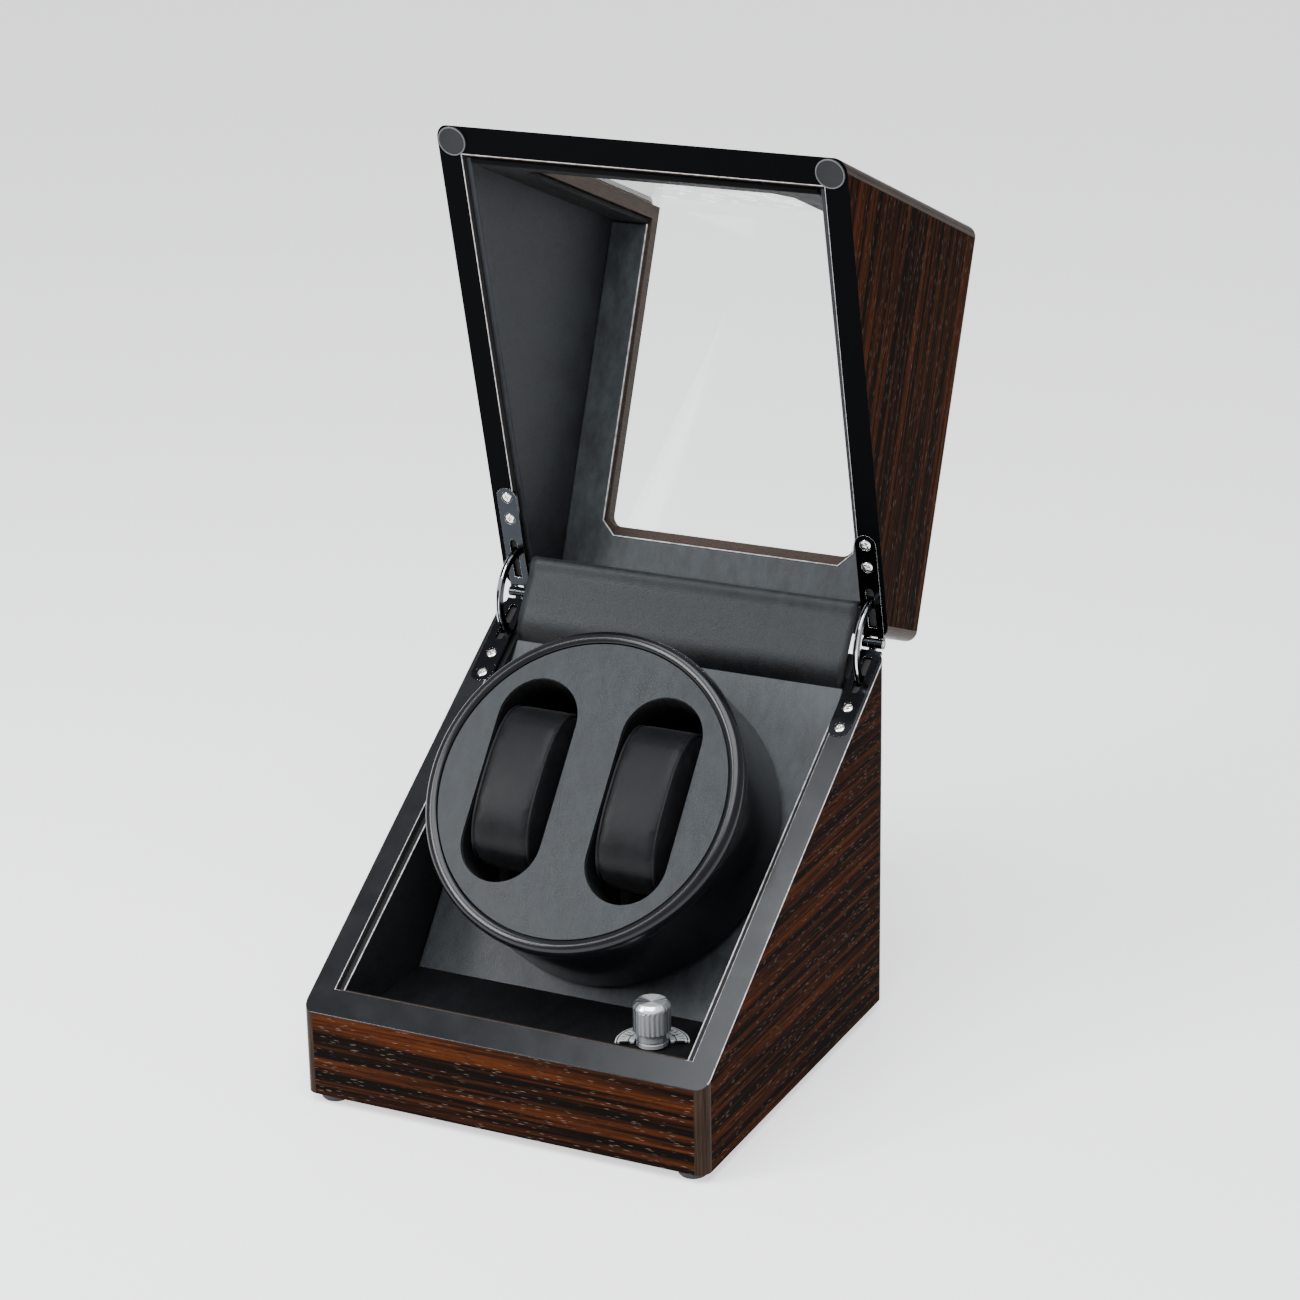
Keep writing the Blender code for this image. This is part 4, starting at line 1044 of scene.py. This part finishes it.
# ---- turntable ---------------------------------------------------------------------------
def make_turntable():
    wall = 2.5
    seat = FACE_RADIUS + 0.75
    outer = RIM_RADIUS
    inside = DRUM_RADIUS - wall
    lip = arc((outer - 3.4, -2.4), 3.4, 130, 0, 13)
    under_lip = arc((outer - 1.0, -6.2), 1.0, 0, -90, 3)
    heel = arc((DRUM_RADIUS - 3, 3 - DRUM_DEPTH), 3, -15, -90, 5)
    profile = [(seat, -1.2), (seat, -0.4), (seat + 0.3, 0.2), *lip, (outer, -5.0), *under_lip,
               (DRUM_RADIUS, -7.4), (DRUM_RADIUS, 3 - DRUM_DEPTH), *heel,
               (9.0, -DRUM_DEPTH), (9.0, wall - DRUM_DEPTH), (inside - 2, wall - DRUM_DEPTH),
               (inside, wall + 2 - DRUM_DEPTH), (inside, -7.0), (seat, -7.0)]
    shell = lathe("turntable_shell", profile, TURNTABLE, 160)
    place_piece(shell, ["drum"], "turntable", "drum_shell")

    slots = [stadium((sign * SLOT_OFFSET, 0), SLOT_RADIUS, SLOT_LENGTH) for _, sign in sides()]
    face = prism("face_disc", [circle((0, 0), FACE_RADIUS, 160), *slots], "Z", -1.5, 0.05, TURNTABLE)
    round_edges(face, 0.7, 4)
    place_piece(face, ["face_leather"], "turntable", "face_leather")


def cushion(name, place):
    """A crowned pillow: a stuffed form swollen by cloth simulation, with a piped seam near each side."""
    half_width = 14.2
    length = 68.0
    top = 7.4
    bottom = -35.6
    middle = (top + bottom) / 2
    tall = (top - bottom) / 2
    outline = []
    for step in range(48):
        angle = math.tau * step / 48
        across = math.copysign(abs(math.cos(angle)) ** 0.72, math.cos(angle)) * length / 2
        up = math.copysign(abs(math.sin(angle)) ** 0.82, math.sin(angle)) * tall + middle
        outline.append((across, up))
    obj = prism(name, [outline], "X", -half_width, half_width, HERE)
    soften = obj.modifiers.new("soften", "BEVEL")
    soften.width = 3.4 * MM
    soften.segments = 3
    soften.limit_method = "ANGLE"
    soften.angle_limit = math.radians(50)
    remesh = obj.modifiers.new("remesh", "REMESH")
    remesh.mode = "VOXEL"
    remesh.voxel_size = 2.2 * MM
    keep(obj)
    swell(obj, 1.3)
    subdivide = obj.modifiers.new("smooth", "SUBSURF")
    subdivide.levels = 1
    subdivide.render_levels = 1
    keep(obj)
    for polygon in obj.data.polygons:
        polygon.use_smooth = True
    piping = [seam(obj, f"{name}_piping_{end}", way * (half_width - 1.8), middle, place)
              for end, way in (("a", -1), ("b", 1))]
    obj.matrix_world = place
    return obj, piping


def swell(obj, cap):
    """Blow the mesh up a little as stuffing does, no point moving further than cap."""
    rest = [v.co.copy() for v in obj.data.vertices]
    cloth = obj.modifiers.new("Cloth", "CLOTH")
    cloth.settings.use_pressure = True
    cloth.settings.uniform_pressure_force = 4.0
    cloth.settings.effector_weights.gravity = 0.0
    cloth.settings.tension_stiffness = 30.0
    cloth.settings.compression_stiffness = 30.0
    cloth.point_cache.frame_end = 20
    scene = bpy.context.scene
    for number in range(1, 21):
        scene.frame_set(number)
    keep(obj)
    scene.frame_set(1)
    for vert, start in zip(obj.data.vertices, rest):
        shift = vert.co - start
        if shift.length > cap * MM:
            vert.co = start + shift.normalized() * cap * MM


def seam(obj, name, x, middle, place):
    """Piping laid on the cushion's surface round its outline, at distance x from its middle."""
    tree = BVHTree.FromObject(obj, bpy.context.evaluated_depsgraph_get())
    points = []
    steps = 140
    for step in range(steps):
        angle = math.tau * step / steps
        way = Vector((0, math.cos(angle), math.sin(angle)))
        start = Vector((x, 0, middle)) * MM + way * 0.08
        hit = tree.ray_cast(start, -way)[0]
        if hit is not None:
            points.append(hit / MM + way * 0.15)
    return tube(name, points, 0.75, place, cyclic=True)


def make_pillows():
    for side, sign in sides():
        place = TURNTABLE @ move(sign * SLOT_OFFSET, 0, 0)
        pillow, piping = cushion(f"pillow_{side}", place)
        body = f"pillow_{side}"
        place_piece(pillow, ["pillow_leather"], body, f"watch_pillow_{side}")
        for cord in piping:
            place_piece(cord, ["pillow_leather"], body, f"watch_pillow_{side}", stands_for=False)


# ---- hinges ------------------------------------------------------------------------------
def make_screw_head(name, place, turned):
    """Countersunk head with a cross recess, on its shank; the head's top is at zero."""
    head = 2.2
    profile = [(0, 0.10), (head * 0.6, 0.06), (head * 0.92, -0.10), (head, -0.28), (1.1, -1.1),
               (1.1, -7.6), (0.2, -8.0), (0, -8.0)]
    screw = lathe(name, profile, place @ turn(turned, "Z"), 40)
    for quarter in (0, 90):
        arm = block("arm", (-1.25, -0.24, -0.55), (1.25, 0.24, 1.0), place @ turn(turned + quarter, "Z"))
        combine(screw, [arm])
    return screw


def make_leaf(name, rim, side, sign, up, length):
    """A polished leaf let into the rim, with its knuckle and screws; up is +1 on the lid."""
    centre = sign * HINGE_X
    face = leaf_face(up)
    back = face + up * LEAF_THICKNESS
    low, high = sorted((face, back))
    near, far = LEAF_SLOT
    slot = [(centre - SLOT_HALF, -near), (centre - SLOT_HALF, -far)]
    slot += arc((centre, -far), SLOT_HALF, 180, 360, 10)[1:-1]
    slot += [(centre + SLOT_HALF, -far), (centre + SLOT_HALF, -near)]
    leaf = prism(name, [leaf_outline(centre, length), slot], "Z", low, high, rim)
    knuckle = 2.9
    pitch = knuckle + 0.25
    rows = (-1, 1) if up > 0 else (0,)
    tools = []
    for row in rows:
        start = centre + row * pitch - knuckle / 2
        barrel = [circle((0, 0), BARREL_RADIUS, 40)]
        tools.append(prism("barrel", barrel, "X", start, start + knuckle, rim))
        tools.append(block("tongue", (start, -4.8, low), (start + knuckle, -0.5, high), rim))
    combine(leaf, tools, "UNION")
    combine(leaf, [prism("bore", [circle((0, 0), 1.32, 24)], "X", centre - 9, centre + 9, rim)])
    half = "lid" if up > 0 else "base"
    flip = HERE if up < 0 else turn(180, "X")
    for index, back_off in enumerate(SCREW_FROM_END):
        at = rim @ move(centre, -length + back_off, face) @ flip
        seat = [(0, 1), (2.55, 1), (2.55, -0.2), (1.4, -1.2), (1.4, -4), (0, -4)]
        combine(leaf, [lathe("seat", seat, at, 40)])
        number = index + 1
        screw = make_screw_head(f"screw_{half}_{side}_{number}", at @ move(0, 0, -0.05),
                                25 + 37 * index * sign)
        node = f"hinge_screw_{half}_{side}_{number}"
        place_piece(screw, ["screw"], half, node)
    round_edges(leaf, 0.28, 3, 50)
    leaf.modifiers["rounded"].material = 1
    place_piece(leaf, ["dark_chrome", "chrome"], half, f"{half}_hinge_leaf_{side}")


def make_hinges():
    for side, sign in sides():
        make_leaf(f"leaf_base_{side}", BASE_RIM, side, sign, -1, BASE_LEAF_TO)
        make_leaf(f"leaf_lid_{side}", LID_RIM, side, sign, 1, LID_LEAF_TO)
        centre = sign * HINGE_X
        stay = prism(f"stay_{side}", [sector(16.5, 20.5, -4.8, LID_OPEN + 4.8, 60)], "X",
                     centre - 1, centre + 1, BASE_RIM)
        round_edges(stay, 0.55, 4)
        stay.modifiers["rounded"].material = 1
        place_piece(stay, ["dark_chrome", "chrome"], f"stay_{side}", f"hinge_stay_{side}")


# ---- controls ----------------------------------------------------------------------------
def make_knob():
    """Turned knob: spun dished top, chamfered cap, fluted grip and a grooved collar."""
    radius = 7.75
    collar = 6.6
    top = 48.0
    flutes = 24
    grip_low, grip_high = 35.3, top - 3.4
    profile = [(0, top - 0.45), (1.2, top - 0.4), (5.0, top - 0.1), (5.6, top), (6.2, top - 0.1),
               (7.2, top - 1.1), (7.5, top - 1.5), (radius, top - 1.9), (radius, grip_high + 0.5),
               (radius - 0.25, grip_high + 0.3), (radius - 0.25, grip_high), (radius - 0.45, grip_low + 0.4),
               (radius - 0.7, grip_low), (collar, grip_low), (collar, 31.9), (6.15, 31.6), (6.15, 31.2),
               (collar, 30.9), (collar, 29.4), (collar - 0.2, 29.15), (3.0, 29.15), (3.0, 18.0), (0, 18.0)]
    knob = lathe("knob", profile, move(*KNOB_AT), 96)
    outline = []
    for step in range(flutes * 6):
        angle = math.tau * step / (flutes * 6)
        wave = 0.5 + 0.5 * math.cos(flutes * angle)
        reach = radius - 0.05 - 0.55 * (1 - wave) ** 2
        outline.append((reach * math.cos(angle), reach * math.sin(angle)))
    grip = prism("grip", [outline], "Z", grip_low + 0.1, grip_high + 0.1, move(*KNOB_AT))
    combine(knob, [grip], "UNION")
    place_piece(knob, ["spun"], "knob", "control_knob")


def make_scale():
    outline = arc((0, 0), 15.0, 0, 180, 60) + arc((0, 0), 7.2, 180, 0, 30)
    place = move(*KNOB_AT) @ turn(25.0, "Z")
    plate = prism("dial_plate", [outline], "Z", LEDGE_TOP + GAP, LEDGE_TOP + 1.5, place)
    round_edges(plate, 0.25, 3)
    place_piece(plate, ["scale"], "base", "scale_plate")


# ---- small soft parts --------------------------------------------------------------------
def make_feet():
    radius = 6.5
    for row, y in (("front", -1), ("rear", 1)):
        for side, x in sides():
            profile = [(0, -0.3), (radius - 0.3, -0.3), (radius, -0.8), (radius - 0.5, -3.2),
                       (radius - 1.2, -4.0), (radius - 3.0, -4.0), (radius - 3.4, -3.5), (0, -3.5)]
            foot = lathe(f"rubber_foot_{row}_{side}", profile, move(x * 80.5, y * 80.5, 0), 48)
            place_piece(foot, ["rubber"], "base", f"foot_{row}_{side}")


def make_pads():
    along = math.hypot(PIN_Y + HALF_Y, PIN_Z - FRONT_SPLIT) - 7.0
    for side, sign in sides():
        place = LID_RIM @ move(sign * 83.0, -along, 0)
        profile = [(0, 0.62), (6.2, 0.62), (6.3, 0.2), (5.9, -0.12), (5.2, -0.2), (4.9, -0.12), (0, -0.16)]
        pad = lathe(f"pad_{side}", profile, place, 64)
        ring_points = [(x, y, -0.1) for x, y in circle((0, 0), 5.9, 64)]
        ring = tube(f"pad_ring_{side}", ring_points, 0.28, place, True)
        place_piece(ring, ["pad_ring"], "lid", f"lid_stop_pad_{side}", stands_for=False)
        place_piece(pad, ["pad"], "lid", f"lid_stop_pad_{side}")


# ---- carried-over CAD nodes --------------------------------------------------------------
def dress_frame():
    """Better materials on the CAD nodes that keep their shape."""
    finishes = {
        "bottom_panel": "fibreboard", "control_board": "board", "drive_hub": "steel", "drive_motor": "steel",
        "drive_shaft": "steel", "gearbox": "steel", "motor_plate": "steel", "shaft_bush": "brass",
        "drum_insert": "well", "rotary_switch": "moulded", "power_inlet": "moulded",
        "hinge_pin_left": "steel", "hinge_pin_right": "steel",
    }
    for node, finish in finishes.items():
        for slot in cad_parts[node].material_slots:
            slot.material = look[finish]


# ---- stage -------------------------------------------------------------------------------
def area_light(name, at, towards, size, power, colour=(1, 1, 1)):
    light = bpy.data.lights.new(name, "AREA")
    light.shape = "RECTANGLE"
    light.size, light.size_y = size
    light.energy = power
    light.color = colour
    obj = bpy.data.objects.new(name, light)
    obj.location = at
    obj.rotation_euler = (Vector(towards) - Vector(at)).to_track_quat("-Z", "Y").to_euler()
    bpy.context.scene.collection.objects.link(obj)


def make_stage():
    bm = bmesh.new()
    bmesh.ops.create_grid(bm, x_segments=1, y_segments=1, size=6.0)
    floor = new_object("floor", bm, move(0, 0, -4.0))
    n = Nodes("pale_floor", Base_Color=(0.93, 0.93, 0.93, 1), Roughness=0.3, Specular_IOR_Level=0.5,
              Emission_Color=(1, 1, 1, 1), Emission_Strength=1.0)
    floor.data.materials.append(n.material)
    world = bpy.data.worlds.new("studio")
    world.use_nodes = True
    world.node_tree.nodes["Background"].inputs["Color"].default_value = (0.95, 0.98, 1, 1)
    world.node_tree.nodes["Background"].inputs["Strength"].default_value = 0.6
    bpy.context.scene.world = world
    area_light("overhead", (0.08, -0.69, 1.7), (0.08, -0.69, 0), (1.44, 1.34), 51, (0.93, 0.965, 1))
    area_light("key", (-0.654, -0.746, 0.734), (-0.24, 0.069, 0.329), (0.30, 0.56), 11.5,
               (0.97, 0.985, 1))


def make_camera():
    """Camera at the solved place: azimuth 25 degrees, elevation 19.7 degrees, slight roll."""
    camera = bpy.data.cameras.new("camera")
    camera.sensor_width = 36.0
    camera.lens = 95.19
    camera.shift_x = -0.0658
    camera.shift_y = 0.0046
    azimuth, elevation, roll = 25.009, 19.739, -0.4617
    obj = bpy.data.objects.new("camera", camera)
    aim = turn(azimuth, "Z") @ turn(90 - elevation, "X") @ turn(roll, "Z")
    obj.matrix_world = move(600.08, -1151.89, 636.56) @ aim
    bpy.context.scene.collection.objects.link(obj)
    bpy.context.scene.camera = obj


look = make_materials()
make_camera()
make_stage()
make_case("base_case", False)
make_case("lid_case", True)
make_linings()
make_window_linings()
make_inner_boards()
make_hinge_strip()
make_pane()
make_turntable()
make_pillows()
make_hinges()
make_knob()
make_scale()
make_feet()
make_pads()
dress_frame()
